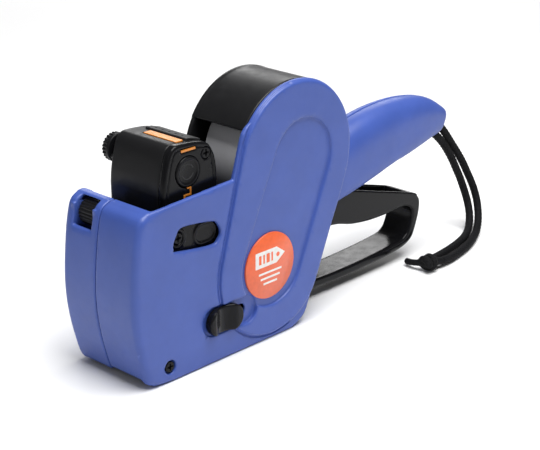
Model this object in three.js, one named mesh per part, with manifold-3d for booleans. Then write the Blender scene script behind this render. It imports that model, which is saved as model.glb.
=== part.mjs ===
import * as THREE from 'three';
import { mergeVertices } from 'three/addons/utils/BufferGeometryUtils.js';
import Module from 'manifold-3d';

const wasm = await Module();
wasm.setup();

// Driving dimensions in millimetres. X runs from the nose (-) to the handle (+), Y from the left
// side to the right, Z up from the flat base. Outlines are [x, z] pairs in the side view.
const SIDE = 24;
const WALL = 2.4;
const SEAM = 1.5;
const GAP = 0.3;
const CLEARANCE = 0.4;
const INNER = SIDE - WALL;
const BASE_MIDDLE = 44;
// How far the pins that cross the whole body reach to each side.
const PIN_REACH = INNER - GAP;
const DISC = { x: 88.2, z: 84.5, r: 37.4 };
const PANEL_FACE = 25.2;
const PANEL_HEEL = { x: 72, z: 37, r: 34.5 };
const RECESS = { top: { x: 92, z: 84, r: 19.5 }, low: { x: 71.5, z: 37.4, r: 20 }, depth: 1.3 };
const BADGE = { x: 69.9, z: 37.4, r: 16, thick: 0.65 };
const SHOULDER = 84.2;
const BAY = { front: 0.8, back: 120.5, right: 13.3, floor: 77.5 };

// Handle stations: x, crown height, belly height, half width.
const HANDLE = [
  [108, 67, 42.5, 12], [124, 74.5, 45.5, 12], [140, 81, 48.5, 12], [157, 85.6, 52, 12],
  [175, 87.8, 56, 11.6], [194, 87.4, 59.3, 10.8], [212, 83.8, 61.8, 9.4], [223.2, 77.2, 63, 8],
];
const HANDLE_SLOT = { front: 118, back: 183, half: 9.8, roof: 62 };

const LEVER_PIVOT = { x: 104, z: 40, pin: 2.5 };
const LEVER_HALF = 9;
const HEAD_PIVOT = { x: 108.5, z: 60, pin: 2.5 };
const DRIVE_PIN = { x: 101.6, z: 48.5, r: 1.5 };
const PIN_FIT = 0.12;

const HEAD = { left: -18, capBack: -14.2, right: 17.5, wall: 2, foot: 46 };
const BAND_WHEEL = { x: 25.5, z: 91, r: 8.4 };
const BAND_NOSE = { x: 26, z: 50.5, r: 4 };
const BAND = { count: 8, first: -10.4, pitch: 2.6, width: 2.2, thick: 1.4 };
const DRUM = { left: -11.4, right: 9.9 };
const KNOB = { x: 19.2, z: 96.4, r: 6.7, near: 19, far: 23.6 };
const INDEX_PIN = { x: 14.6, z: 93.8, r: 1.1, near: 15.6, far: 18.8 };
const CAP_BUTTON = { x: 25.5, z: 92.3, r: 6.8 };
const CAP_SCREW = { x: 36.8, z: 98.2 };
const FRAME_SCREW = { x: 15.9, z: 65 };
const SCREW = { head: 2.6, headHigh: 1.6, shank: 1.25, crossLong: 1.6, crossWide: 0.35 };

const ROLL = { r: 30, core: 13, left: -20.6, right: 5.9 };
const COVER = { outer: 37.2, inner: 34.8, left: -21.2, right: 12, sideWall: 2.2, hem: 86.4 };
const COVER_PIN = { x: 122.2, z: 89.2, r: 1.2 };
const BASE_DOOR = { front: 13, half: 19.4, thick: 2.4, knuckle: 2.4 };
const DOOR_PIN = { x: 79.5, z: 3.6, r: 1.2 };

const APPLICATOR = { x: 3, z: 7, r: 6.8, half: 18.6, pitch: 2.48, groove: 1.1, pin: 1.5 };
const NOSE_OPENING = { front: -9, back: 12, high: 1.6, leftHigh: 4.2 };
const FRONT_SCREW = { x: 7.3, z: 7.4 };
const RIGHT_SCREWS = [
  { name: 'casing_screw_rear', x: 90.5, z: 9.5, half: INNER },
  { name: 'casing_screw_upper', x: 119.4, z: 68, half: INNER },
  { name: 'casing_screw_handle', x: 203, z: 73, half: 8.4 },
];
const DIAL = { x: -1.2, z: 73.2, r: 6.2, left: 7.2, right: 17.2, axle: 1.2 };
const WINDOW = { left: 6.2, right: 18.2, low: 68.4, high: 80.4 };
const SIDE_SLOT = [
  [11.1, 63.8], [11.4, 61.8], [12.8, 60.2], [33.4, 57.4], [38.1, 59.1], [39.5, 62.3], [37.5, 66.5],
  [33.6, 68.6], [16.7, 70.5], [12.8, 67.3],
];
const LATCH = { front: 35.6, back: 43.9, z: 20.2, r: 6.4, travel: 7, proud: 27.4 };
const LATCH_SLOT = { front: 37, back: 52.4, r: 2.7 };
const LATCH_RECESS = { front: 34.6, back: 54.4, r: 6.9, floor: 22.9 };
const INK = { x: 3.4, z: 42, r: 5.4, pin: 1.3, left: -14, right: 10 };
const FEED = { x: 60, z: 22, r: 8, pin: 2, teeth: 12, left: -14, right: 10 };
const GUIDE = { x: 82, z: 24, r: 4, pin: 1.5, half: 18 };
const PLATEN = { front: 14, back: 40, low: 28, high: 35.6, left: -15, right: 11, bed: 24 };

const STRAP = { r: 2.2, pin: 1.1, pinHalf: 5.4, bend: 3.4, slot: 5.9, slotHalf: 2.7, slotLong: 14 };
const STRAP_PIN = { x: 223.4, z: 66 };
const STRAP_OUT = { x: 0.66, z: -0.75 };
// Free strands of the wrist strap: straight out of the handle, bending down under their own weight,
// then along the floor to the knot. Points are [x, y, z].
const STRAND_OUTER = [
  [227.5, 0, 65], [234, 0, 58], [240, 0, 51], [246, 0, 44], [251, 0, 37.5], [255, 0, 31.5],
  [258, -1, 25.5], [259.5, -2.5, 20], [259, -5, 14.5], [256.5, -8, 9.5], [252, -11.5, 5.5],
  [246, -15, 3.2], [239, -18.5, 2.4], [231, -22, 2.4], [222, -25, 2.4], [213, -27, 2.4],
  [204, -28.5, 2.6], [196, -29, 3.4],
];
const STRAND_INNER = [
  [223, 0, 61], [228, 0, 57], [233, 0, 52], [237.5, 0, 46.5], [241.5, 0, 41], [245, 0, 35.5],
  [248.5, 0, 30], [251, -0.5, 24.5], [252.5, -1.5, 19.5], [252.5, -3.5, 14.5], [250.5, -6.5, 9],
  [246.5, -9.5, 5], [241, -12.5, 3], [234, -15.5, 2.4], [226, -18, 2.4], [217, -20, 2.4],
  [207, -22, 2.8], [197, -24, 3.6],
];
const KNOT = { x: 187, y: -27, z: 4.4, long: 6.9, wide: 5.2, high: 4.3 };

const PAINT = {
  blue: [0x5a6cb8, 0.42, 0], black: [0x1d1d1f, 0.5, 0], gloss: [0x17171a, 0.3, 0],
  orange: [0xf0602a, 0.5, 0], amber: [0xf09a2e, 0.4, 0], steel: [0x9a9ca0, 0.35, 0.9],
  rubber: [0x262626, 0.85, 0], paper: [0xdfe0e2, 0.8, 0], card: [0xa98860, 0.9, 0],
  felt: [0x2b2140, 0.95, 0], cord: [0x141416, 0.8, 0], grey: [0x3a3c40, 0.5, 0],
};

// Solids ------------------------------------------------------------------------------------

function toSolid(geometry) {
  const bare = new THREE.BufferGeometry();
  bare.setAttribute('position', geometry.attributes.position);
  if (geometry.index) bare.setIndex(geometry.index);
  const merged = mergeVertices(bare, 1e-4);
  return new wasm.Manifold(new wasm.Mesh({
    numProp: 3,
    vertProperties: new Float32Array(merged.attributes.position.array),
    triVerts: new Uint32Array(merged.index.array),
  }));
}

function toGeometry(solid) {
  const mesh = solid.getMesh();
  const geometry = new THREE.BufferGeometry();
  geometry.setAttribute('position', new THREE.BufferAttribute(mesh.vertProperties, 3));
  geometry.setIndex(new THREE.BufferAttribute(mesh.triVerts, 1));
  geometry.computeVertexNormals();
  return geometry;
}

const block = (x0, x1, y0, y1, z0, z1) => toSolid(new THREE.BoxGeometry(x1 - x0, y1 - y0, z1 - z0)
  .translate((x0 + x1) / 2, (y0 + y1) / 2, (z0 + z1) / 2));

const rod = (x, z, r, y0, y1, sides = 12) => toSolid(new THREE.CylinderGeometry(r, r, y1 - y0, sides)
  .translate(x, (y0 + y1) / 2, z));

// A rod on the axis of a named place.
const pin = (at, r, y0, y1, sides) => rod(at.x, at.z, r, y0, y1, sides);

const ring = (at, outer, inner, y0, y1, sides = 32) => pin(at, outer, y0, y1, sides)
  .subtract(pin(at, inner, y0 - 1, y1 + 1, sides));

const shapeOf = (points) => new THREE.Shape(points.map(([x, z]) => new THREE.Vector2(x, z)));

// A side-view outline drawn out across the gun, from y0 to y1.
function plate(points, y0, y1) {
  const options = { depth: y1 - y0, bevelEnabled: false };
  const geometry = new THREE.ExtrudeGeometry(shapeOf(points), options);
  return toSolid(geometry.rotateX(Math.PI / 2).translate(0, y1, 0));
}

// The same with its two rims rounded by edge.
function softPlate(points, y0, y1, edge) {
  const geometry = new THREE.ExtrudeGeometry(shapeOf(points), {
    depth: y1 - y0 - 2 * edge, bevelThickness: edge, bevelSize: edge, bevelOffset: -edge, bevelSegments: 1,
  });
  return toSolid(geometry.rotateX(Math.PI / 2).translate(0, y1 - edge, 0));
}

function arc(x, z, r, from, to, steps) {
  return Array.from({ length: steps + 1 }, (_, i) => {
    const angle = from + (to - from) * i / steps;
    return [x + r * Math.cos(angle), z + r * Math.sin(angle)];
  });
}

// The outline of two circles with a band pulled tight round them.
function beltOutline(a, b, steps = 6) {
  const along = Math.atan2(b.z - a.z, b.x - a.x);
  const lean = Math.acos((a.r - b.r) / Math.hypot(b.x - a.x, b.z - a.z));
  return [
    ...arc(a.x, a.z, a.r, along + lean, along - lean + 2 * Math.PI, steps),
    ...arc(b.x, b.z, b.r, along - lean, along + lean, steps),
  ];
}

// Moves each edge of an anticlockwise outline inwards and rebuilds its corners.
function inset(points, distance) {
  const inward = (a, b) => new THREE.Vector2(a[1] - b[1], b[0] - a[0]).normalize();
  return points.map((point, i) => {
    const before = inward(points.at(i - 1), point);
    const after = inward(point, points[(i + 1) % points.length]);
    const reach = distance / (1 + before.dot(after));
    return [point[0] + (before.x + after.x) * reach, point[1] + (before.y + after.y) * reach];
  });
}

const curveThrough = (points, steps) => new THREE.SplineCurve(points.map(([x, z]) => new THREE.Vector2(x, z)))
  .getPoints(steps).map((p) => [p.x, p.y]);

function tube(points, r, steps, sides = 8) {
  const path = new THREE.CatmullRomCurve3(points.map((p) => new THREE.Vector3(...p)));
  const section = new THREE.Shape(arc(0, 0, r, 0, 2 * Math.PI, sides).slice(0, -1)
    .map(([x, z]) => new THREE.Vector2(x, z)));
  return new THREE.ExtrudeGeometry(section, { steps, extrudePath: path, bevelEnabled: false });
}

// Casing ------------------------------------------------------------------------------------

function bodyOutline(withDisc) {
  const back = curveThrough([[86, 0], [94.7, 4.4], [100.1, 15.3], [111.8, 42.9], [119.2, 57.4], [123.9, 70],
    [125.5, 82]], 10);
  const nose = curveThrough([[-2.3, 81.6], [-6.9, 79], [-9.2, 73], [-11.2, 61.1], [-12.7, 41.9],
    [-11.2, 24.7],
    [-6.2, 5.2], [-2.6, 1.2], [1.5, 0]], 12);
  const top = withDisc
    ? [...arc(DISC.x, DISC.z, DISC.r, 0, 2.47, 16), [53.9, 103.8], [52.7, 100.8], [47.7, SHOULDER]]
    : [[124.8, SHOULDER], [47.7, SHOULDER]];
  return [...back, ...top, ...nose];
}

function handleBody(shrink) {
  const crown = new THREE.SplineCurve(HANDLE.map(([x, top]) => new THREE.Vector2(x, top)));
  const belly = new THREE.SplineCurve(HANDLE.map(([, , low, half]) => new THREE.Vector2(low, half)));
  const geometry = new THREE.CylinderGeometry(1, 1, 1, 20, 9);
  const position = geometry.attributes.position;
  const square = (value, power) => (Math.abs(value) < 1e-6 ? 0 : Math.sign(value) * Math.abs(value) ** power);
  for (let i = 0; i < position.count; i += 1) {
    const along = THREE.MathUtils.clamp(0.5 + position.getY(i), 0, 1);
    const top = crown.getPoint(along);
    const low = belly.getPoint(along);
    const middle = (top.y + low.x) / 2;
    const power = position.getX(i) > 0 ? 0.8 : 0.3 + 0.3 * along ** 6;
    const rise = ((top.y - low.x) / 2 - shrink) * square(position.getX(i), power);
    const slant = 0.5 * rise * along ** 8;
    const end = along > 0.999 ? shrink : 0;
    const across = (low.y - shrink) * square(position.getZ(i), power);
    position.setXYZ(i, top.x + slant - end, across, middle + rise);
  }
  return toSolid(geometry);
}

function strapPocket() {
  const mouth = {
    x: STRAP_PIN.x + STRAP.slotLong * STRAP_OUT.x,
    z: STRAP_PIN.z + STRAP.slotLong * STRAP_OUT.z,
  };
  const outline = beltOutline({ ...STRAP_PIN, r: STRAP.slot }, { ...mouth, r: STRAP.slot });
  return plate(outline, -STRAP.slotHalf, STRAP.slotHalf);
}

// Everything cut out of the pair of halves before they are parted at the seam.
function casingHollow(outline) {
  const doorHalf = BASE_DOOR.half + CLEARANCE;
  const rollerHalf = APPLICATOR.half + CLEARANCE;
  const cuts = [
    plate(inset(outline, WALL), -INNER, INNER),
    handleBody(WALL),
    block(BAY.front, BAY.back, -INNER, BAY.right, BAY.floor, 130),
    block(BAY.back - 1, 130, -INNER, BAY.right, SHOULDER, 130),
    block(92, 140, -10.4, 10.4, 3, 60),
    block(HANDLE_SLOT.front, HANDLE_SLOT.back, -HANDLE_SLOT.half, HANDLE_SLOT.half, 40, HANDLE_SLOT.roof),
    block(BASE_DOOR.front - CLEARANCE, DOOR_PIN.x + 4.4, -doorHalf, doorHalf,
      -1, BASE_DOOR.thick + CLEARANCE),
    block(NOSE_OPENING.front, NOSE_OPENING.back, -rollerHalf, rollerHalf, -1, NOSE_OPENING.high),
    pin(APPLICATOR, APPLICATOR.r + CLEARANCE, -rollerHalf, rollerHalf),
  ];
  return cuts.reduce((all, cut) => all.add(cut));
}

// Bosses that carry pins across the body: position, radius and the pin's bore. The head's pivot
// has one on the right side only, because the label roll fills the left.
const PIN_SEATS = [
  { ...LEVER_PIVOT, boss: 5, bore: LEVER_PIVOT.pin },
  { ...HEAD_PIVOT, boss: 4.6, bore: HEAD_PIVOT.pin, only: 1 },
  { ...FEED, boss: 3.6, bore: FEED.pin },
  { ...GUIDE, boss: 3.2, bore: GUIDE.pin },
  { ...INK, boss: 3, bore: INK.pin },
  { ...APPLICATOR, boss: 3, bore: APPLICATOR.pin },
  { ...DOOR_PIN, boss: 3.2, bore: DOOR_PIN.r },
];
const BOSS_DEPTH = 2.1;
const seatsOn = (sign) => PIN_SEATS.filter(({ only = sign }) => only === sign);

function pinSeats(sign) {
  const near = (INNER - BOSS_DEPTH) * sign;
  const far = (INNER + 0.4) * sign;
  const [y0, y1] = [Math.min(near, far), Math.max(near, far)];
  return seatsOn(sign).map((seat) => rod(seat.x, seat.z, seat.boss, y0, y1)
    .subtract(rod(seat.x, seat.z, seat.bore + PIN_FIT, y0 - 1, y1 + 1)))
    .reduce((all, seat) => all.add(seat));
}

const pinBores = (sign) => seatsOn(sign).map((seat) => {
  const [y0, y1] = [0, (INNER + 0.1) * sign].sort((a, b) => a - b);
  return rod(seat.x, seat.z, seat.bore + PIN_FIT, y0, y1);
}).reduce((all, bore) => all.add(bore));

function casingLeft() {
  const outline = bodyOutline(true);
  const panel = beltOutline(DISC, PANEL_HEEL, 12);
  const recess = beltOutline(RECESS.top, RECESS.low, 9);
  const latchRecess = beltOutline({ x: LATCH_RECESS.front, z: LATCH.z, r: LATCH_RECESS.r },
    { x: LATCH_RECESS.back, z: LATCH.z, r: LATCH_RECESS.r }, 8);
  const latchSlot = beltOutline({ x: LATCH_SLOT.front, z: LATCH.z, r: LATCH_SLOT.r },
    { x: LATCH_SLOT.back, z: LATCH.z, r: LATCH_SLOT.r }, 5);
  const noseOpening = block(NOSE_OPENING.front, NOSE_OPENING.back, -APPLICATOR.half - CLEARANCE, SEAM + 1,
    -1, NOSE_OPENING.leftHigh);
  let body = plate(outline, -SIDE, SIDE).add(handleBody(0)).subtract(casingHollow(outline));
  body = body.add(softPlate(panel, -PANEL_FACE, -SIDE + 1.2, 1.1))
    .subtract(plate(recess, -PANEL_FACE - 1, -PANEL_FACE + RECESS.depth))
    .subtract(plate(latchRecess, -PANEL_FACE - 1, -LATCH_RECESS.floor))
    .subtract(plate(latchSlot, -30, -20)).subtract(plate(SIDE_SLOT, -30, -20))
    .subtract(noseOpening);
  const platenBed = block(PLATEN.front - 1, PLATEN.back + 1, -INNER - 0.5, SEAM,
    PLATEN.bed, PLATEN.low - GAP);
  const screwPosts = RIGHT_SCREWS.map(({ x, z, half }) => rod(x, z, 3.6, -half - 0.4, SEAM))
    .reduce((all, post) => all.add(post));
  const screwBores = RIGHT_SCREWS.map(({ x, z }) => rod(x, z, 1.5, -6, SEAM + 1))
    .reduce((all, bore) => all.add(bore));
  return body.add(platenBed).add(screwPosts).add(pinSeats(-1))
    .add(pin(FRONT_SCREW, 2.6, -INNER - 0.4, -INNER + 1.8))
    .subtract(screwBores).subtract(pinBores(-1)).subtract(strapPocket())
    .subtract(pin(FRONT_SCREW, 3.3, -SIDE - 1, -SIDE + 2))
    .subtract(pin(FRONT_SCREW, 1.5, -SIDE, -19))
    .subtract(pin(COVER_PIN, COVER_PIN.r + PIN_FIT, -23.4, 0))
    .subtract(pin(STRAP_PIN, STRAP.pin + PIN_FIT, -STRAP.pinHalf - 0.2, 0))
    .intersect(block(-50, 260, -40, SEAM - GAP / 2, -10, 140));
}

// The right side is cut down beside the print head, to clear its knob. Short walls close the
// shell at both ends of the notch.
const NOTCH = { low: 68, front: 8.6, back: 44 };
const notchCut = () => plate([[0.8, 90], [0.8, 81.3], [2.2, 81], [NOTCH.front, 76],
  [NOTCH.front, NOTCH.low],
  [NOTCH.back, NOTCH.low], [NOTCH.back, 90]], BAY.right, 30);
const notchEnds = () => plate([[-2.4, 81.2], [-2.4, 80.4], [1.6, 79.6], [6.6, 75], [6.6, 66],
  [NOTCH.front, 66],
  [NOTCH.front, 76], [2.2, 81], [0.8, 81.3]], BAY.right, INNER + 0.5)
  .add(block(NOTCH.back, NOTCH.back + 2.2, BAY.right, INNER + 0.5, 70, 83));

function casingRight() {
  const outline = bodyOutline(false);
  let body = plate(outline, -SIDE, SIDE).add(handleBody(0)).subtract(casingHollow(outline));
  body = body.subtract(notchCut()).add(notchEnds());
  const window = block(-16, 0.8 + WALL, WINDOW.left, WINDOW.right, WINDOW.low, WINDOW.high);
  const dialRib = (y0, y1) => block(-8.6, 3, y0, y1, 66.5, 78).subtract(
    pin(DIAL, DIAL.axle + PIN_FIT, y0 - 1, y1 + 1));
  const coverEar = plate(beltOutline({ ...COVER_PIN, r: 3.2 }, { x: 120, z: 82, r: 4.4 }, 6),
    BAY.right, BAY.right + 2.6);
  const bed = [PLATEN.front - 1, PLATEN.back + 1, SEAM];
  const platenBed = block(...bed, BAY.right, PLATEN.bed, PLATEN.low - GAP)
    .add(block(...bed, INNER + 0.5, PLATEN.bed, PLATEN.bed + 2));
  const posts = RIGHT_SCREWS.map(({ x, z, half }) => rod(x, z, 3.6, SEAM, half + 0.4))
    .reduce((all, post) => all.add(post));
  const bores = RIGHT_SCREWS.map(({ x, z, half }) => rod(x, z, 1.5, 0, 30)
    .add(rod(x, z, 3, half - 0.4, 30))).reduce((all, bore) => all.add(bore));
  return body.subtract(window).add(dialRib(WINDOW.left - 2, WINDOW.left))
    .add(dialRib(WINDOW.right, WINDOW.right + 2)).add(coverEar).add(platenBed).add(posts).add(pinSeats(1))
    .subtract(bores).subtract(pinBores(1)).subtract(strapPocket())
    .subtract(pin(COVER_PIN, COVER_PIN.r + PIN_FIT, 10, 30))
    .subtract(pin(STRAP_PIN, STRAP.pin + PIN_FIT, 0, STRAP.pinHalf + 0.2))
    .intersect(block(-50, 260, SEAM + GAP / 2, 40, -10, 140));
}

// Latch, badge, screws and base door ------------------------------------------------------

function latchSlider() {
  const cap = softPlate(beltOutline({ x: LATCH.front, z: LATCH.z, r: LATCH.r },
    { x: LATCH.back, z: LATCH.z, r: LATCH.r }, 8), -LATCH.proud, -LATCH_RECESS.floor - GAP, 1.2);
  const scoop = new THREE.CylinderGeometry(8, 8, 20, 24).rotateX(Math.PI / 2);
  scoop.translate((LATCH.front + LATCH.back) / 2, -LATCH.proud - 5.2, LATCH.z);
  return cap.subtract(toSolid(scoop)).add(block(37, 45, -23.5, -20.4, LATCH.z - 2.1, LATCH.z + 2.1))
    .add(block(33, 48, -INNER + GAP, -19.8, LATCH.z - 3.2, LATCH.z + 3.2));
}

// A cross-head screw whose head faces the side given by sign, its head's outer face at y.
function screw({ x, z }, y, sign, length) {
  const { head, headHigh, shank, crossLong, crossWide } = SCREW;
  const along = (from, to) => [y - sign * from, y - sign * to].sort((a, b) => a - b);
  const cross = block(x - crossLong, x + crossLong, ...along(-1, 0.9), z - crossWide, z + crossWide)
    .add(block(x - crossWide, x + crossWide, ...along(-1, 0.9), z - crossLong, z + crossLong));
  return rod(x, z, head, ...along(0, headHigh)).add(rod(x, z, shank, ...along(headHigh - 0.1, length)))
    .subtract(cross);
}

function baseDoor() {
  const { front, half, thick, knuckle } = BASE_DOOR;
  const hook = block(54, 57, -half, -half + 2, thick - 0.1, 17);
  return block(front, DOOR_PIN.x, -half, half, 0, thick).add(pin(DOOR_PIN, knuckle, -half, half)).add(hook)
    .subtract(pin(DOOR_PIN, DOOR_PIN.r + PIN_FIT, -half - 1, half + 1));
}

// Roll and its cover ------------------------------------------------------------------------

function rollCover() {
  const { outer, inner, left, right, sideWall, hem } = COVER;
  const front = 2.58;
  const rear = 0.22;
  const band = [
    ...arc(DISC.x, DISC.z, outer, rear, front, 16),
    ...arc(DISC.x, DISC.z, inner, front, rear, 16),
  ];
  const hemAngle = Math.asin((hem - DISC.z) / outer);
  const wall = [...arc(DISC.x, DISC.z, outer, rear, Math.PI - hemAngle, 18), [COVER_PIN.x - 2, hem]];
  return plate(band, left, right).add(plate(wall, right - sideWall, right))
    .add(pin(COVER_PIN, 2.7, left, right))
    .subtract(pin(COVER_PIN, COVER_PIN.r + PIN_FIT, left - 1, right + 1));
}

// Print head --------------------------------------------------------------------------------

const HEAD_OUTLINE = [
  [16, HEAD.foot], [38, HEAD.foot], [41, 66], [43.7, 84], [42.8, 93.7], [40.8, 98.9],
  [37.7, 102.6], [31.5, 104.4],
  [20.9, 105.2], [17.6, 104.4], [15.4, 102.2], [13.7, 97.7], [11.9, 89.6], [11.2, 83.2], [11.4, 64],
];

function headHousing() {
  const shell = plate(HEAD_OUTLINE, HEAD.capBack + GAP, HEAD.right);
  const room = plate(inset(HEAD_OUTLINE, HEAD.wall), HEAD.capBack - 1, HEAD.right - 1.8)
    .add(block(15, 38, HEAD.capBack - 1, HEAD.right - 1.8, HEAD.foot - 5, HEAD.foot + 4));
  return shell.subtract(room)
    .subtract(pin(KNOB, 1.5 + PIN_FIT, 8, KNOB.near))
    .subtract(pin(INDEX_PIN, INDEX_PIN.r + PIN_FIT, 15, KNOB.near))
    .subtract(block(22.6, 27.4, -14, 7.5, 104.2, 106));
}

function headFrame() {
  const leftPlate = plate([[12.3, 51], [48.6, 51], [48.6, 70], [36, 74], [12.3, 74]], -20.8, -18.5);
  const crossBar = block(45.8, 48.6, -20.8, 16.5, 52, 68);
  const arm = plate(beltOutline({ x: 48, z: 62, r: 6 }, { ...HEAD_PIVOT, r: 5 }, 8), 13.7, 16.5)
    .add(plate(beltOutline({ ...DRIVE_PIN, r: 3.6 }, { x: 104, z: 58, r: 5 }, 8), 13.7, 16.5));
  const slot = plate(beltOutline({ x: DRIVE_PIN.x - 2.6, z: DRIVE_PIN.z, r: 1.9 },
    { x: DRIVE_PIN.x + 1.6, z: DRIVE_PIN.z, r: 1.9 }, 6), 12, 18);
  return leftPlate.add(crossBar).add(arm).subtract(slot)
    .subtract(pin(HEAD_PIVOT, HEAD_PIVOT.pin + PIN_FIT, 12, 18))
    .subtract(pin(FRAME_SCREW, 1.4, -22, -18)).subtract(pin(FRAME_SCREW, 2.9, -22, -19.4));
}

function headCap() {
  return softPlate(HEAD_OUTLINE, HEAD.left, HEAD.capBack, 0.9)
    .subtract(pin(CAP_BUTTON, CAP_BUTTON.r + GAP, HEAD.left - 1, HEAD.left + 1.6, 28))
    .subtract(pin(CAP_SCREW, 2.9, HEAD.left - 1, HEAD.left + 1.8))
    .subtract(pin(CAP_SCREW, 1.4, HEAD.left, HEAD.capBack + 1))
    .subtract(block(21.7, 30.9, HEAD.left - 1, HEAD.left + 0.8, 101.1, 102.9));
}

function typeBand(index) {
  const y = BAND.first + index * BAND.pitch;
  const inner = (wheel) => ({ ...wheel, r: wheel.r - BAND.thick });
  return plate(beltOutline(BAND_WHEEL, BAND_NOSE, 5), y, y + BAND.width)
    .subtract(plate(beltOutline(inner(BAND_WHEEL), inner(BAND_NOSE), 5), y - 1, y + BAND.width + 1));
}

function ribbedWheel({ x, z, r }, y0, y1, ribs, depth, bore) {
  const root = 1 - depth / r;
  const outline = arc(x, z, r, 0, 2 * Math.PI, ribs * 2).slice(0, -1)
    .map(([px, pz], i) => (i % 2 ? [px, pz] : [x + (px - x) * root, z + (pz - z) * root]));
  return plate(outline, y0, y1).subtract(rod(x, z, bore + PIN_FIT, y0 - 1, y1 + 1));
}

// The roller that presses the label down, turned into a row of rings.
function ringedRoller({ x, z, r, half, pitch, groove, pin: axle }) {
  let roller = rod(x, z, r - groove, -half, half, 20);
  for (let y = -half; y < half - 1; y += pitch) {
    roller = roller.add(rod(x, z, r, y, y + pitch / 2, 20));
  }
  return roller.subtract(rod(x, z, axle + PIN_FIT, -half - 1, half + 1));
}

// Trigger -----------------------------------------------------------------------------------

function triggerLever() {
  const outer = [
    [97, 11], [106, 7.2], [118.9, 5.2], [140.7, 4.2], [161.8, 4.8], [185.2, 6.4], [194.8, 9.2], [198.8, 14],
    [200.9, 22.7], [201.6, 30.1], [199.6, 33.8], [195.6, 36.4], [167.4, 44.4], [146.9, 50.2],
    [128, 54.6], [110, 54],
    [98, 50], [95.6, 40],
  ];
  const fingers = [
    [108, 14], [119, 10.6], [140.7, 9.8], [161.8, 10.2], [184, 11.6], [191, 13.6], [194, 18],
    [195.8, 25], [194, 28.3],
    [189, 30.4], [182, 30.6], [175, 30], [161, 30.2], [147, 32], [132.6, 35.4], [114, 34.6],
  ];
  const channel = [
    [112, 70], [112, 41.6], [132.6, 38.6], [147, 35], [161, 33], [175, 32.6], [184, 33.1],
    [190, 33.4], [196, 42],
    [196, 70],
  ];
  return softPlate(outer, -LEVER_HALF, LEVER_HALF, 1).subtract(plate(fingers, -12, 12))
    .subtract(plate(channel, -LEVER_HALF + 2, LEVER_HALF - 2))
    .subtract(pin(LEVER_PIVOT, LEVER_PIVOT.pin + PIN_FIT, -12, 12))
    .subtract(pin(DRIVE_PIN, DRIVE_PIN.r + PIN_FIT, 1, 12));
}

const SPRING = { x: 130, low: 39.9, high: 71, r: 4.6, wire: 0.7, turns: 4 };

function returnSpring() {
  const turnSteps = 8;
  const count = SPRING.turns * turnSteps;
  const points = Array.from({ length: count + 1 }, (_, i) => {
    const angle = 2 * Math.PI * i / turnSteps;
    const rise = SPRING.low + SPRING.wire + (SPRING.high - SPRING.low - 2 * SPRING.wire) * i / count;
    return [SPRING.x + SPRING.r * Math.cos(angle), SPRING.r * Math.sin(angle), rise];
  });
  return tube(points, SPRING.wire, count, 5);
}

// Wrist strap -------------------------------------------------------------------------------

function strapBight() {
  const across = { x: -STRAP_OUT.z, z: STRAP_OUT.x };
  const at = (side, out) => [STRAP_PIN.x + side * STRAP.bend * across.x + out * STRAP_OUT.x, 0,
    STRAP_PIN.z + side * STRAP.bend * across.z + out * STRAP_OUT.z];
  const turn = Array.from({ length: 9 }, (_, i) => {
    const angle = Math.PI * i / 8;
    return at(Math.cos(angle), -STRAP.bend * Math.sin(angle));
  });
  return tube([at(1, 3), ...turn, at(-1, 3)], STRAP.r, 16);
}

function strapKnot() {
  const { x, y, z, long, wide, high } = KNOT;
  const ball = toSolid(new THREE.SphereGeometry(1, 14, 10).scale(long, wide, high).translate(x, y, z));
  const tailRoute = [[x - 2, y + 1.5, z], [x - 2.6, y + 7.2, 3.3], [x - 1.3, y + 13.3, 2.3]];
  const tail = toSolid(tube(tailRoute, STRAP.r, 6));
  return ball.add(tail);
}

// Assembly ----------------------------------------------------------------------------------

const gun = new THREE.Group();
gun.position.set(-BASE_MIDDLE, 0, 0);

function place(name, solid, paint) {
  const [color, roughness, metalness] = PAINT[paint];
  const geometry = solid.isBufferGeometry ? solid : toGeometry(solid);
  const mesh = new THREE.Mesh(geometry, new THREE.MeshStandardMaterial({ color, roughness, metalness }));
  mesh.name = name;
  gun.add(mesh);
}

place('casing_left', casingLeft(), 'blue');
place('casing_right', casingRight(), 'blue');
place('bottom_cover', baseDoor(), 'blue');
place('bottom_cover_pin', pin(DOOR_PIN, DOOR_PIN.r, -PIN_REACH, PIN_REACH), 'steel');
place('latch_slider', latchSlider(), 'black');
place('casing_screw_front', screw(FRONT_SCREW, -23.6, -1, 4), 'black');
for (const seat of RIGHT_SCREWS) {
  place(seat.name, screw(seat, seat.half + 1.9, 1, seat.half + 6), 'black');
}
const badgeBack = -PANEL_FACE + RECESS.depth - GAP;
place('side_badge', pin(BADGE, BADGE.r, badgeBack - BADGE.thick, badgeBack, 28), 'orange');

place('position_dial', ribbedWheel(DIAL, DIAL.left, DIAL.right, 14, 0.5, DIAL.axle), 'black');
place('dial_axle', pin(DIAL, DIAL.axle, WINDOW.left - 1.8, WINDOW.right + 1.8, 12), 'steel');

place('roll_cover', rollCover(), 'black');
place('roll_cover_pin', pin(COVER_PIN, COVER_PIN.r, -23.2, 15.7, 12), 'steel');
place('label_roll', ring(DISC, ROLL.r, ROLL.core, ROLL.left, ROLL.right, 28), 'paper');
place('label_core', ring(DISC, ROLL.core - 0.25, 11.4, ROLL.left, ROLL.right, 20), 'card');
place('roll_spindle', ring(DISC, 11, 8.4, -INNER + GAP, 6.2, 24), 'black');
place('roll_retainer', pin(DISC, 8.1, -2, 6.4, 24)
  .add(pin(DISC, 17, 6.5, 8.6, 32)).add(pin(DISC, 8.1, 6.3, 6.6, 24)), 'black');

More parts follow.
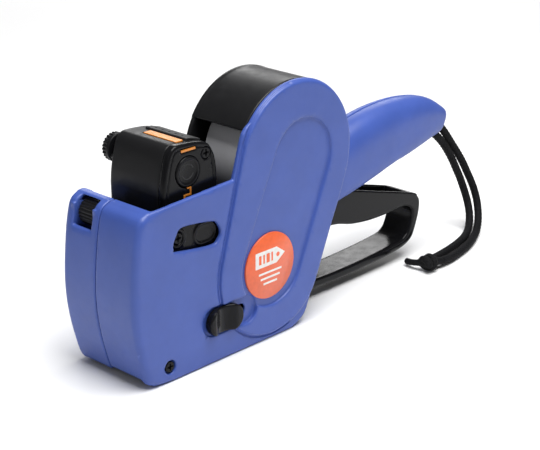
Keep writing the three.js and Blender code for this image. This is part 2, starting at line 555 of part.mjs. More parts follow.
place('head_frame', headFrame(), 'black');
place('frame_screw', screw(FRAME_SCREW, -PIN_REACH, -1, 2.6), 'gloss');
place('print_head_housing', headHousing(), 'black');
place('print_head_cap', headCap(), 'black');
place('cap_button', pin(CAP_BUTTON, CAP_BUTTON.r, HEAD.left - 0.5, HEAD.left + 1.3, 28), 'gloss');
place('cap_screw', screw(CAP_SCREW, HEAD.left + 0.1, -1, 3.6), 'black');
place('cap_window', block(22, 30.6, HEAD.left + 0.1, HEAD.left + 0.5, 101.4, 102.6), 'amber');
place('cap_pointer', plate([[24.6, 84.6], [26.2, 84.6], [26.2, 82.4], [22.6, 82.4], [22.6, 78.5],
  [23.6, 78.5],
  [23.6, 81.4], [27.2, 81.4], [27.2, 85.3], [24.6, 85.3]], HEAD.left - 0.4, HEAD.left - GAP), 'amber');
place('top_window', block(22.9, 27.1, -13.7, 7.2, 104.5, 105.4), 'amber');
place('top_plate', plate([[28.4, 104.75], [31.5, 104.5], [37.2, 102.9], [37, 103.9],
  [31.6, 105.5], [28.8, 105.7]],
  -14, 12), 'grey');
place('select_knob', ribbedWheel(KNOB, KNOB.near, KNOB.far, 14, 0.6, 1.5), 'black');
place('selector_shaft', pin(KNOB, 1.5, 10.6, KNOB.far - 0.6, 12), 'steel');
place('index_pin', pin(INDEX_PIN, INDEX_PIN.r, INDEX_PIN.near, INDEX_PIN.far, 10), 'gloss');
for (let i = 0; i < BAND.count; i += 1) {
  place(`type_band_${i + 1}`, typeBand(i), 'rubber');
}
place('band_drum', pin(BAND_WHEEL, BAND_WHEEL.r - BAND.thick - 1, DRUM.left, DRUM.right, 14), 'black');
place('print_anvil', pin(BAND_NOSE, BAND_NOSE.r - BAND.thick - GAP, DRUM.left, DRUM.right, 12), 'steel');
place('head_pivot_pin', pin(HEAD_PIVOT, HEAD_PIVOT.pin, 10, PIN_REACH), 'steel');

place('ink_roller', ring(INK, INK.r, INK.pin + PIN_FIT, INK.left, INK.right, 20), 'felt');
place('ink_axle', pin(INK, INK.pin, -PIN_REACH, PIN_REACH, 12), 'steel');
place('platen', block(PLATEN.front, PLATEN.back, PLATEN.left, PLATEN.right,
  PLATEN.low, PLATEN.high), 'rubber');
place('feed_wheel', ribbedWheel(FEED, FEED.left, FEED.right, FEED.teeth, 1.4, FEED.pin), 'black');
place('feed_shaft', pin(FEED, FEED.pin, -PIN_REACH, PIN_REACH, 14), 'steel');
place('guide_roller', pin(GUIDE, GUIDE.r, -GUIDE.half, GUIDE.half)
  .add(pin(GUIDE, GUIDE.pin, -PIN_REACH, PIN_REACH)), 'black');
place('applicator_roller', ringedRoller(APPLICATOR), 'rubber');
place('applicator_axle', pin(APPLICATOR, APPLICATOR.pin, -PIN_REACH, PIN_REACH, 12), 'steel');

place('trigger_lever', triggerLever(), 'black');
place('trigger_pin', pin(LEVER_PIVOT, LEVER_PIVOT.pin, -PIN_REACH, PIN_REACH), 'steel');
place('drive_pin', pin(DRIVE_PIN, DRIVE_PIN.r, 1.3, 16.6, 12), 'steel');
place('return_spring', returnSpring(), 'steel');

place('strap_pin', pin(STRAP_PIN, STRAP.pin, -STRAP.pinHalf, STRAP.pinHalf, 12), 'steel');
place('strap_bight', strapBight(), 'cord');
place('strap_strand_outer', tube(STRAND_OUTER, STRAP.r, 24), 'cord');
place('strap_strand_inner', tube(STRAND_INNER, STRAP.r, 23), 'cord');
place('strap_knot', strapKnot(), 'cord');

export default gun;
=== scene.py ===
import math

import bmesh
import bpy
import numpy as np
import openvdb as vdb
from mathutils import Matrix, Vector


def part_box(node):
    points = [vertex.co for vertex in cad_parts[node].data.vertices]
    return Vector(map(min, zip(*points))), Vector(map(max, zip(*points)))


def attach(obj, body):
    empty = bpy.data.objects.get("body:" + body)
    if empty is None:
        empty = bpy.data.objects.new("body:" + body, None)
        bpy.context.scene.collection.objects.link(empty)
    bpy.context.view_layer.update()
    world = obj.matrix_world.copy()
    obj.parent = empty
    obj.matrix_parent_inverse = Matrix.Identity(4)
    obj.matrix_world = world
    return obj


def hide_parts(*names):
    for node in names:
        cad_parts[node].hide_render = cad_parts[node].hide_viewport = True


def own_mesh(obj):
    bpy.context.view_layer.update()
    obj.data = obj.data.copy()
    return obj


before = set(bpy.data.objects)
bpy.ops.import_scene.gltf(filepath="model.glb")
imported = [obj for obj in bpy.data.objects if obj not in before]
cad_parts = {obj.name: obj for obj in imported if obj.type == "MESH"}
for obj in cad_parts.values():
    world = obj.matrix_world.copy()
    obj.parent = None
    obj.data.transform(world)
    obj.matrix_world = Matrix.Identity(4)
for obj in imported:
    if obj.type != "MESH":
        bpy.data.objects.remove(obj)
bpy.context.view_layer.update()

# The gun is laid out in millimetres with x = 0 at the front end of its flat base. The record's
# origin is the middle of that base, BASE_MIDDLE further back.
MM = 0.001
BASE_MIDDLE = 44.0
SIDE = 24.0
WALL = 2.4
INNER = SIDE - WALL
SEAM = 1.5
HALF_GAP = 0.15
DISC = (88.2, 84.5, 37.4)
PANEL_HEEL = (72.0, 37.0, 34.5)
RECESS_TOP = (92.0, 84.0, 19.5)
RECESS_LOW = (71.5, 37.4, 20.0)
PANEL_FACE = 25.2
SHOULDER = 84.2
BAY = {"front": 0.8, "back": 120.5, "right": 13.3, "floor": 77.5}
APPLICATOR = (3.0, 7.0, 6.8)
APPLICATOR_HALF = 18.6
NOSE_OPENING = {"front": -9, "back": 12, "half": APPLICATOR_HALF + 0.4}
LATCH_Z = 20.2
LATCH_CAP = {"front": 35.6, "back": 43.9, "r": 6.4}
LATCH_HOLLOW = {"front": 34.6, "back": 54.4, "r": 6.9}
LATCH_SLOT = {"front": 37, "back": 52.4, "r": 2.7}
LATCH_PROUD = 27.4
LATCH_FLOOR = 22.9
INK_AXIS = (3.4, 42)
FEED_AXIS = (60, 22)
GUIDE_AXIS = (82, 24)
SCREW_POST = 3.6
SCREW_BORE = 1.6
SCREW_SEAT = 3.1
HEAD_LEFT = -18.0
HEAD_RIGHT = 17.5
KNOB = (19.2, 96.4, 6.7)
KNOB_REACH = (19.0, 23.6)
DIAL = (-1.2, 73.2, 6.2)
DIAL_REACH = (7.2, 17.2)
WINDOW = (6.2, 18.2)
RECESS_DEPTH = 1.3
ROLL_REACH = (-20.6, 5.9)
ROLL_R = 30.0
ROLL_BORE = 13.0
COVER_REACH = (-21.2, 12)
COVER_PIN = (122.2, 89.2)
COVER_MIDDLE = 36.0
COVER_THICK = 2.4
COVER_HEM = 86.4
COVER_BACK = 122.5
DOOR_HALF = 19.4
DOOR_PIN = (79.5, 3.6)
LEVER_PIN = (104, 40)
FRAME_SCREW = (15.9, 65)
FRONT_SCREW = (7.3, 7.4)
PLATEN = {"front": 14, "back": 40, "left": -15, "right": 11, "low": 28, "high": 35.6, "bed": 24}
STRAP_R = 2.2
COARSER = 1.0


# Distance fields ----------------------------------------------------------------------------

class Grid:
    """A block of space in millimetres, sampled at the middle of every voxel."""

    def __init__(self, low, high, voxel):
        self.voxel = voxel * COARSER
        self.low = np.array(low, float) - 2.5 * self.voxel
        count = np.ceil((np.array(high, float) + 2.5 * self.voxel - self.low) / self.voxel).astype(int)
        axes = [self.low[i] + self.voxel * np.arange(count[i] + 1) for i in range(3)]
        self.x = axes[0][:, None, None].astype(np.float32)
        self.y = axes[1][None, :, None].astype(np.float32)
        self.z = axes[2][None, None, :].astype(np.float32)

    def polygon(self, points):
        """Signed distance to a side-view outline, negative inside."""
        px = self.x[:, 0, 0][:, None]
        pz = self.z[0, 0, :][None, :]
        best = np.full((px.shape[0], pz.shape[1]), 1e9, np.float32)
        inside = np.zeros(best.shape, bool)
        for (ax, az), (bx, bz) in zip(points, points[1:] + points[:1]):
            ex, ez = bx - ax, bz - az
            wx, wz = px - ax, pz - az
            t = np.clip((wx * ex + wz * ez) / max(ex * ex + ez * ez, 1e-9), 0, 1)
            best = np.minimum(best, (wx - ex * t) ** 2 + (wz - ez * t) ** 2)
            crosses = ((az <= pz) & (bz > pz)) | ((bz <= pz) & (az > pz))
            inside ^= crosses & (px < ax + (pz - az) / (ez if abs(ez) > 1e-9 else 1e-9) * ex)
        return (np.sqrt(best) * np.where(inside, -1, 1)).astype(np.float32)[:, None, :]

    def circle(self, x, z, r):
        return np.sqrt((self.x - x) ** 2 + (self.z - z) ** 2) - r

    def belt(self, a, b):
        return self.polygon(belt(a, b))

    def latch_belt(self, front, back, r):
        return self.belt((front, LATCH_Z, r), (back, LATCH_Z, r))

    def across(self, y0, y1):
        return np.abs(self.y - (y0 + y1) / 2) - (y1 - y0) / 2

    def box(self, x0, x1, y0, y1, z0, z1, r=0.0):
        sides = [np.abs(self.x - (x0 + x1) / 2) - (x1 - x0) / 2 + r, self.across(y0, y1) + r,
                 np.abs(self.z - (z0 + z1) / 2) - (z1 - z0) / 2 + r]
        outside = sum(np.maximum(side, 0) ** 2 for side in sides)
        return np.sqrt(outside) + np.minimum(np.maximum(np.maximum(sides[0], sides[1]), sides[2]), 0) - r

    def rod(self, x, z, r, y0, y1, edge=0.0):
        return self.prism(self.circle(x, z, r), y0, y1, edge)

    def prism(self, flat, y0, y1, r=0.0):
        """A side-view field drawn out from y0 to y1, its two rims rounded by r."""
        deep = self.across(y0, y1) + r
        flat = flat + r
        outside = np.sqrt(np.maximum(flat, 0) ** 2 + np.maximum(deep, 0) ** 2)
        return outside + np.minimum(np.maximum(flat, deep), 0) - r


def join(a, b, k=0.0):
    if k <= 0:
        return np.minimum(a, b)
    h = np.maximum(k - np.abs(a - b), 0) / k
    return np.minimum(a, b) - h * h * k * 0.25


def cut(a, b, k=0.0):
    return -join(-a, b, k)


def keep(a, b, k=0.0):
    return -join(-a, -b, k)


def arc(x, z, r, start, end, steps):
    angles = [start + (end - start) * i / steps for i in range(steps + 1)]
    return [(x + r * math.cos(a), z + r * math.sin(a)) for a in angles]


def belt(a, b, steps=24):
    """The outline of two circles (x, z, r) with a band pulled tight round them."""
    along = math.atan2(b[1] - a[1], b[0] - a[0])
    lean = math.acos((a[2] - b[2]) / math.hypot(b[0] - a[0], b[1] - a[1]))
    return (arc(*a, along + lean, along - lean + 2 * math.pi, steps)
            + arc(*b, along - lean, along + lean, steps))


def smooth_line(points, steps):
    """A Catmull-Rom curve through the points, steps to each span."""
    pts = [np.array(p, float) for p in points]
    pts = [2 * pts[0] - pts[1]] + pts + [2 * pts[-1] - pts[-2]]
    out = []
    for i in range(1, len(pts) - 2):
        p0, p1, p2, p3 = pts[i - 1:i + 3]
        for step in range(steps):
            t = step / steps
            out.append(tuple(0.5 * (2 * p1 + (p2 - p0) * t + (2 * p0 - 5 * p1 + 4 * p2 - p3) * t * t
                                    + (3 * p1 - p0 - 3 * p2 + p3) * t ** 3)))
    out.append(tuple(pts[-2]))
    return out


def smoothstep(low, high, value):
    t = np.clip((value - low) / (high - low), 0, 1)
    return t * t * (3 - 2 * t)


# Meshes -------------------------------------------------------------------------------------

def link(name, mesh):
    obj = bpy.data.objects.new(name, mesh)
    bpy.context.scene.collection.objects.link(obj)
    return obj


def to_metres(points):
    return (np.asarray(points, float) - (BASE_MIDDLE, 0, 0)) * MM


def sdf_piece(name, grid, field, adaptivity=0.02):
    """Turns a distance field into a mesh whose normals are the field's own slope."""
    field = np.ascontiguousarray(np.broadcast_to(
        field, (grid.x.shape[0], grid.y.shape[1], grid.z.shape[2])).astype(np.float32))
    band = 3 * grid.voxel
    field = np.clip(field, -band, band)
    volume = vdb.FloatGrid(band)
    volume.copyFromArray(field)
    points, triangles, quads = volume.convertToPolygons(isovalue=0.0, adaptivity=adaptivity)
    mesh = bpy.data.meshes.new(name)
    faces = triangles.tolist() + quads.tolist()
    mesh.from_pydata(to_metres(points * grid.voxel + grid.low).tolist(), [], faces)
    mesh.validate()
    mesh.polygons.foreach_set("use_smooth", np.ones(len(mesh.polygons), bool))
    normals = slope_at(field, points)
    if len(normals) == len(mesh.vertices):
        mesh.normals_split_custom_set_from_vertices(normals.tolist())
    mesh.update()
    return link(name, mesh)


def slope_at(field, points):
    """The unit slope of a field, blended between its samples."""
    limits = np.array(field.shape) - 2
    base = np.clip(np.floor(points).astype(int), 1, limits - 1)
    part = points - base
    total = np.zeros((len(points), 3))
    for corner in np.ndindex(2, 2, 2):
        at = base + corner
        weight = np.prod(np.where(np.array(corner) == 1, part, 1 - part), axis=1)
        for axis in range(3):
            step = np.zeros(3, int)
            step[axis] = 1
            ahead, behind = at + step, at - step
            total[:, axis] += weight * (field[tuple(ahead.T)] - field[tuple(behind.T)])
    return total / np.maximum(np.linalg.norm(total, axis=1, keepdims=True), 1e-9)


def lathe(name, profile, x, z, segments=64, sharp=math.radians(35)):
    """Turns a profile of (y, radius) pairs about the line along Y through (x, z)."""
    bm = bmesh.new()
    rings = []
    for y, r in profile:
        if r < 1e-6:
            rings.append([bm.verts.new(to_metres([x, y, z]))])
            continue
        turn = [2 * math.pi * i / segments for i in range(segments)]
        rings.append([bm.verts.new(to_metres([x + r * math.cos(a), y, z + r * math.sin(a)])) for a in turn])
    closed = rings[0] if len(rings[0]) > 1 and profile[0] == profile[-1] else None
    pairs = list(zip(rings, rings[1:]))
    if closed:
        pairs[-1] = (rings[-2], rings[0])
        for vert in rings[-1]:
            bm.verts.remove(vert)
    for low, high in pairs:
        for i in range(segments):
            j = (i + 1) % segments
            corners = [low[i % len(low)], low[j % len(low)], high[j % len(high)], high[i % len(high)]]
            corners = list(dict.fromkeys(corners))
            if len(corners) > 2:
                bm.faces.new(corners)
    bmesh.ops.recalc_face_normals(bm, faces=bm.faces)
    for edge in bm.edges:
        if len(edge.link_faces) == 2 and edge.calc_face_angle() > sharp:
            edge.smooth = False
    for face in bm.faces:
        face.smooth = True
    mesh = bpy.data.meshes.new(name)
    bm.to_mesh(mesh)
    bm.free()
    return link(name, mesh)


def finish_piece(obj, look, body, *nodes, slot=None):
    """Paints a piece, hangs it on its body and, where nodes are given, takes their place."""
    obj.data.materials.clear()
    obj.data.materials.append(MATERIALS[look])
    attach(obj, body)
    if nodes:
        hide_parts(*nodes)
    return obj


# Materials ----------------------------------------------------------------------------------

class Shader:
    """A small helper that builds one procedural material."""

    def __init__(self, name, color, roughness, metallic=0.0, **sockets):
        self.material = bpy.data.materials.new(name)
        self.material.use_nodes = True
        self.tree = self.material.node_tree
        self.bsdf = self.tree.nodes["Principled BSDF"]
        self.bsdf.inputs["Base Color"].default_value = (*color, 1)
        self.bsdf.inputs["Roughness"].default_value = roughness
        self.bsdf.inputs["Metallic"].default_value = metallic
        for socket, value in sockets.items():
            self.bsdf.inputs[socket.replace("_", " ")].default_value = value
        self.coords = self.node("ShaderNodeTexCoord").outputs["Object"]

    def node(self, kind, **settings):
        made = self.tree.nodes.new(kind)
        for key, value in settings.items():
            setattr(made, key, value)
        return made

    def wire(self, source, target):
        self.tree.links.new(source, target)

    def noise(self, scale, detail=4.0, roughness=0.55, stretch=(1, 1, 1)):
        mapping = self.node("ShaderNodeMapping")
        mapping.inputs["Scale"].default_value = stretch
        self.wire(self.coords, mapping.inputs["Vector"])
        noise = self.node("ShaderNodeTexNoise")
        noise.inputs["Scale"].default_value = scale
        noise.inputs["Detail"].default_value = detail
        noise.inputs["Roughness"].default_value = roughness
        self.wire(mapping.outputs["Vector"], noise.inputs["Vector"])
        return noise.outputs["Fac"]

    def spread(self, source, low, high, start=0.3, end=0.7):
        """Maps a 0 to 1 value onto low to high."""
        mapped = self.node("ShaderNodeMapRange")
        for socket, value in zip(("From Min", "From Max", "To Min", "To Max"), (start, end, low, high)):
            mapped.inputs[socket].default_value = value
        self.wire(source, mapped.inputs["Value"])
        return mapped.outputs["Result"]

    def tint(self, source, low, high, start=0.3, end=0.7):
        ramp = self.node("ShaderNodeValToRGB")
        ramp.color_ramp.elements[0].position = start
        ramp.color_ramp.elements[1].position = end
        ramp.color_ramp.elements[0].color = (*low, 1)
        ramp.color_ramp.elements[1].color = (*high, 1)
        self.wire(source, ramp.inputs["Fac"])
        self.wire(ramp.outputs["Color"], self.bsdf.inputs["Base Color"])
        return ramp

    def blend_color(self, source, color, amount_low=0.0, amount_high=1.0, start=0.5, end=0.6):
        """Lays a second colour over the base colour where source is high."""
        mix = self.node("ShaderNodeMix", data_type="RGBA")
        base = self.bsdf.inputs["Base Color"]
        if base.is_linked:
            self.wire(base.links[0].from_socket, mix.inputs[6])
        else:
            mix.inputs[6].default_value = base.default_value
        mix.inputs[7].default_value = (*color, 1)
        self.wire(self.spread(source, amount_low, amount_high, start, end), mix.inputs[0])
        self.wire(mix.outputs[2], base)

    def roughen(self, source, low, high, start=0.3, end=0.7):
        self.wire(self.spread(source, low, high, start, end), self.bsdf.inputs["Roughness"])

    def bump(self, source, strength, distance):
        bump = self.node("ShaderNodeBump")
        bump.inputs["Strength"].default_value = strength
        bump.inputs["Distance"].default_value = distance
        self.wire(source, bump.inputs["Height"])
        if self.bsdf.inputs["Normal"].is_linked:
            self.wire(self.bsdf.inputs["Normal"].links[0].from_socket, bump.inputs["Normal"])
        self.wire(bump.outputs["Normal"], self.bsdf.inputs["Normal"])

    def edge_wear_and_highlight(self, color, start=0.53, end=0.6, amount=0.5):
        # Lightens the sharp edges: partly rubbed wear, partly a painted highlight along them.
        point = self.node("ShaderNodeNewGeometry").outputs["Pointiness"]
        self.blend_color(point, color, 0.0, amount, start, end)


def scaled(color, factor):
    return tuple(min(1.0, c * factor) for c in color)


def moulded(name, color, roughness, grain=0.05, wear_and_highlight=None, gloss=0.45):
    """Injection-moulded plastic: fine spark grain, faint flow mottling, and edges lightened both by rubbed
    wear and by a painted highlight.
    """
    shader = Shader(name, color, roughness, Specular_IOR_Level=gloss)
    mottle = shader.noise(60, 3, 0.6)
    shader.tint(mottle, scaled(color, 0.94), scaled(color, 1.06))
    # Lighter edges: rubbed wear together with a painted edge highlight.
    if wear_and_highlight:
        shader.edge_wear_and_highlight(wear_and_highlight)
    shader.roughen(shader.noise(220, 5, 0.6), roughness - 0.05, roughness + 0.07)
    shader.bump(shader.noise(2600, 2, 0.5), grain, 0.0002)
    shader.bump(shader.noise(45, 2, 0.5), 0.04, 0.0008)
    return shader.material


# The pitch of the rings seen on the end of a wound roll, in metres.
WEB_PITCH = 0.00045


def label_web(name):
    """The edges of a wound label web: fine rings about the roll, with a slight drift in tone."""
    shader = Shader(name, (0.58, 0.58, 0.60), 0.7, Specular_IOR_Level=0.25, Sheen_Weight=0.1)
    place = shader.node("ShaderNodeMapping")
    place.inputs["Location"].default_value = tuple(-v for v in to_metres([DISC[0], 0, DISC[1]]))
    place.inputs["Scale"].default_value = (1, 0, 1)
    shader.wire(shader.coords, place.inputs["Vector"])
    length = shader.node("ShaderNodeVectorMath", operation="LENGTH")
    shader.wire(place.outputs["Vector"], length.inputs[0])
    turns = shader.node("ShaderNodeMath", operation="MULTIPLY")
    turns.inputs[1].default_value = 2 * math.pi / WEB_PITCH
    shader.wire(length.outputs["Value"], turns.inputs[0])
    wave = shader.node("ShaderNodeMath", operation="SINE")
    shader.wire(turns.outputs[0], wave.inputs[0])
    shader.tint(shader.noise(40, 4), (0.55, 0.55, 0.575), (0.62, 0.62, 0.64))
    shader.blend_color(wave.outputs[0], (0.42, 0.42, 0.44), 0.0, 0.25, -1, 1)
    shader.bump(wave.outputs[0], 0.1, 0.0002)
    shader.bump(shader.noise(700, 3), 0.08, 0.0002)
    return shader.material


def speckled(name, color, roughness, tone, rough=None, bumps=(), **sockets):
    """A plain surface: its tone drifts between two colours, and fine grain stands on it.

    tone is (noise settings, low colour, high colour), rough (noise settings, low, high), and
    each bump (noise settings, strength, distance).
    """
    shader = Shader(name, color, roughness, **sockets)
    settings, low, high = tone
    shader.tint(shader.noise(*settings), low, high)
    if rough:
        settings, low, high = rough
        shader.roughen(shader.noise(*settings), low, high)
    for settings, strength, distance in bumps:
        shader.bump(shader.noise(*settings), strength, distance)
    return shader.material


def shades(color, low, high):
    return scaled(color, low), scaled(color, high)


BLUE = (0.050, 0.096, 0.375)
STEEL = (0.55, 0.56, 0.58)
RUBBER = (0.02, 0.02, 0.021)
ORANGE = (0.82, 0.13, 0.035)
WHITE = (0.82, 0.80, 0.77)
AMBER = (0.74, 0.25, 0.025)
CORD = (0.004, 0.004, 0.005)
PRINT_ROUGH = ((120, 3), 0.36, 0.5)
PRINT_BUMPS = [((900, 3), 0.04, 0.0002)]
STEEL_LINES = (900, 3, 0.6, (0.3, 6, 0.3))
MATERIALS = {
    # The last colour in each moulded entry lightens the edges: rubbed wear and a painted edge highlight.
    "blue": moulded("casing_blue_abs", BLUE, 0.38, 0.05, (0.10, 0.16, 0.48)),
    "black": moulded("black_plastic", (0.007, 0.007, 0.008), 0.36, 0.05, (0.022, 0.022, 0.024), 0.16),
    "gloss": moulded("black_gloss", (0.006, 0.006, 0.007), 0.20, 0.02, (0.022, 0.022, 0.023), 0.14),
    "satin": moulded("black_satin", (0.008, 0.008, 0.009), 0.36, 0.04, (0.025, 0.025, 0.027), 0.30),
    "grey": moulded("grey_plastic", (0.018, 0.018, 0.019), 0.45, 0.10, (0.05, 0.05, 0.05), 0.3),
    "steel": speckled("turned_steel", STEEL, 0.3, ((150, 4), *shades(STEEL, 0.85, 1.1)),
                      (STEEL_LINES, 0.22, 0.44), [(STEEL_LINES, 0.15, 0.0001)], metallic=1.0),
    "rubber": speckled("black_rubber", RUBBER, 0.75, ((300, 5), *shades(RUBBER, 0.75, 1.35)),
                       bumps=[((1500, 3), 0.25, 0.0003)], Specular_IOR_Level=0.3),
    "paper": label_web("label_web"),
    "badge": speckled("badge_orange", ORANGE, 0.42, ((400, 4), *shades(ORANGE, 0.93, 1.05)), PRINT_ROUGH,
                      PRINT_BUMPS, Coat_Weight=0.35, Coat_Roughness=0.25),
    "badge_white": speckled("badge_white", WHITE, 0.42, ((400, 4), *shades(WHITE, 0.93, 1.05)),
                            PRINT_ROUGH, PRINT_BUMPS, Coat_Weight=0.35, Coat_Roughness=0.25),
    "amber": speckled("amber_window", AMBER, 0.3, ((130, 3), *shades(AMBER, 0.86, 1.08)),
                      ((300, 3), 0.26, 0.4), Transmission_Weight=0.1, IOR=1.49, Coat_Weight=0.12),
    "felt": speckled("ink_felt", (0.03, 0.02, 0.08), 0.95,
                     ((500, 6), (0.012, 0.008, 0.035), (0.06, 0.04, 0.14)),
                     bumps=[((1800, 4), 0.6, 0.0005)], Sheen_Weight=0.5),
    "card": speckled("core_board", (0.35, 0.24, 0.14), 0.9,
                     ((500, 5, 0.6, (1, 4, 1)), (0.27, 0.18, 0.10), (0.42, 0.30, 0.18)),
                     bumps=[((900, 4), 0.3, 0.0003)]),
    "cord": speckled("braided_nylon", CORD, 0.75, ((900, 4), (0.002, 0.002, 0.003), (0.009, 0.009, 0.010)),
                     bumps=[((3500, 2, 0.5), 0.3, 0.0002)], Specular_IOR_Level=0.15),
}


# Casing -------------------------------------------------------------------------------------

BACK_EDGE = [(86, 0), (94.7, 4.4), (100.1, 15.3), (111.8, 42.9), (119.2, 57.4), (123.9, 70), (125.5, 82)]
NOSE_EDGE = [(-2.3, 81.6), (-6.9, 79), (-9.2, 73), (-11.2, 61.1), (-12.7, 41.9), (-11.2, 24.7), (-6.2, 5.2),
             (-2.6, 1.2), (1.5, 0)]
SIDE_SLOT = [(11.1, 63.8), (11.4, 61.8), (12.8, 60.2), (33.4, 57.4), (38.1, 59.1), (39.5, 62.3),
             (37.5, 66.5), (33.6, 68.6), (16.7, 70.5), (12.8, 67.3)]
# Handle stations: x, crown height, belly height, half width.
HANDLE = [(108, 67, 42.5, 12), (124, 74.5, 45.5, 12), (140, 81, 48.5, 12), (157, 85.6, 52, 12),
          (175, 87.8, 56, 11.6), (194, 87.4, 59.3, 10.8), (212, 83.8, 61.8, 9.4), (225.5, 76, 63.2, 7.8)]
HANDLE_END = 223.2
END_MIDDLE = 69.4
END_SLANT = 0.5
# Turns a distance along X into one square to the slanted end.
END_LEVEL = 0.89
# A station past the slanted end, so that the end cuts a full section.
PAST_END = (232, 71.6, 64, 6.9)
STRAP_PIN = (223.4, 66.0)
STRAP_OUT = (0.66, -0.75)
# Pin bores through the side walls of the body: x, z, boss radius, bore radius.
PIN_SEATS = [(*LEVER_PIN, 5, 2.6), (*FEED_AXIS, 3.6, 2.1), (*GUIDE_AXIS, 3.2, 1.6), (*INK_AXIS, 3, 1.4),
             (*APPLICATOR[:2], 3, 1.6), (*DOOR_PIN, 3.2, 1.3)]
# The right side is cut down beside the print head, with short walls closing both ends.
NOTCH = [(0.8, 95), (0.8, 81.3), (2.2, 81), (8.6, 76), (8.6, 68), (44, 68), (44, 95)]
NOTCH_ENDS = [(-2.4, 81.2), (-2.4, 80.4), (1.6, 79.6), (6.6, 75), (6.6, 66), (8.6, 66), (8.6, 76),
              (2.2, 81), (0.8, 81.3)]
RIGHT_SCREWS = [("casing_screw_rear", 90.5, 9.5, INNER), ("casing_screw_upper", 119.4, 68, INNER),
                ("casing_screw_handle", 203, 73, 8.4)]


def body_outline(with_disc):
    back = smooth_line(BACK_EDGE, 5)
    nose = smooth_line(NOSE_EDGE, 5)
    if with_disc:
        top = arc(*DISC, 0, 2.47, 60) + [(56.2, 106.2), (53.9, 103.8), (52.7, 100.8), (47.7, SHOULDER)]
    else:
        top = [(125.3, SHOULDER - 1), (124.8, SHOULDER), (47.7, SHOULDER)]
    return back + top + nose[:-1]


def handle_field(grid, shrink):
    stations = np.array(smooth_line(HANDLE + [PAST_END], 8))
    x = grid.x[:, 0, 0]
    crown, belly, half = (np.interp(x, stations[:, 0], stations[:, i])[:, None, None] for i in (1, 2, 3))
    middle = (crown + belly) / 2
    high = (crown - belly) / 2 - shrink
    wide = half - shrink
    up = np.abs(grid.z - middle) / high
    side = np.abs(grid.y) / wide
    round_off = np.where(grid.z > middle, 2.5, 7 - 3.6 * smoothstep(188, 222, grid.x))
    radial = (np.maximum(up, 1e-4) ** round_off + np.maximum(side, 1e-4) ** round_off) ** (1 / round_off)
    field = (radial - 1) * np.minimum(high, wide)
    slant = (grid.x - HANDLE_END - END_SLANT * (grid.z - END_MIDDLE)) * END_LEVEL
    field = keep(field, slant + shrink * 1.2, 2.2 if shrink == 0 else 1.0)
    return keep(field, HANDLE[0][0] - 4 - grid.x)


def hollow_field(grid, outline_flat):
    """Everything taken out of the pair of halves before they part at the seam."""
    roller = NOSE_OPENING["half"]
    hollow = grid.prism(outline_flat + WALL, -INNER, INNER, 1.5)
    for room in (
        handle_field(grid, WALL),
        grid.box(BAY["front"], BAY["back"], -INNER, BAY["right"], BAY["floor"], 130, 1.0),
        grid.box(BAY["back"] - 4, 132, -INNER, BAY["right"], SHOULDER, 130, 0.5),
        grid.box(92, 140, -10.4, 10.4, 3, 60, 1.0),
        grid.box(118, 183, -9.8, 9.8, 40, 62, 1.0),
        grid.box(12.6, 83.9, -DOOR_HALF - 0.4, DOOR_HALF + 0.4, -3, 2.8, 0.3),
        grid.box(NOSE_OPENING["front"], NOSE_OPENING["back"], -roller, roller, -3, 2.2, 0.3),
        grid.rod(*APPLICATOR[:2], APPLICATOR[2] + 0.4, -roller, roller, 0.3),
    ):
        hollow = join(hollow, room)
    return hollow


def strap_pocket(grid):
    far = (STRAP_PIN[0] + 14 * STRAP_OUT[0], STRAP_PIN[1] + 14 * STRAP_OUT[1], 5.9)
    return grid.prism(grid.belt((*STRAP_PIN, 5.9), far), -2.7, 2.7, 0.6)


def casing_shell(grid, with_disc):
    flat = grid.polygon(body_outline(with_disc))
    rim = 1.1 + 2.0 * smoothstep(10, -3, grid.x) * smoothstep(85, 79, grid.z)
    body = grid.prism(flat, -SIDE, SIDE, rim)
    shell = join(body, handle_field(grid, 0), 2.5)
    return cut(shell, hollow_field(grid, flat), 0.5)


def fittings(grid, shell, sign):
    """What both halves carry: the platen's bed, pin seats, screw posts and the strap's slot."""
    bed = (-INNER - 0.5, SEAM) if sign < 0 else (SEAM, BAY["right"])
    shell = join(shell, grid.box(PLATEN["front"] - 1, PLATEN["back"] + 1, *bed,
                                 PLATEN["bed"], PLATEN["low"] - 2 * HALF_GAP))
    for x, z, boss, bore in PIN_SEATS:
        shell = join(shell, grid.rod(x, z, boss, *sorted((19.5 * sign, (INNER + 0.4) * sign))))
        shell = cut(shell, grid.rod(x, z, bore, *sorted((-2 * sign, (INNER + 0.1) * sign))))
    for _, x, z, half in RIGHT_SCREWS:
        shell = join(shell, grid.rod(x, z, SCREW_POST, *sorted((SEAM, (half + 0.4) * sign))))
        shell = cut(shell, grid.rod(x, z, SCREW_BORE, *((-6, 4) if sign < 0 else (0, half))))
        if sign > 0:
            shell = cut(shell, grid.rod(x, z, SCREW_SEAT, half, 40), 0.4)
    return cut(shell, strap_pocket(grid), 0.6)


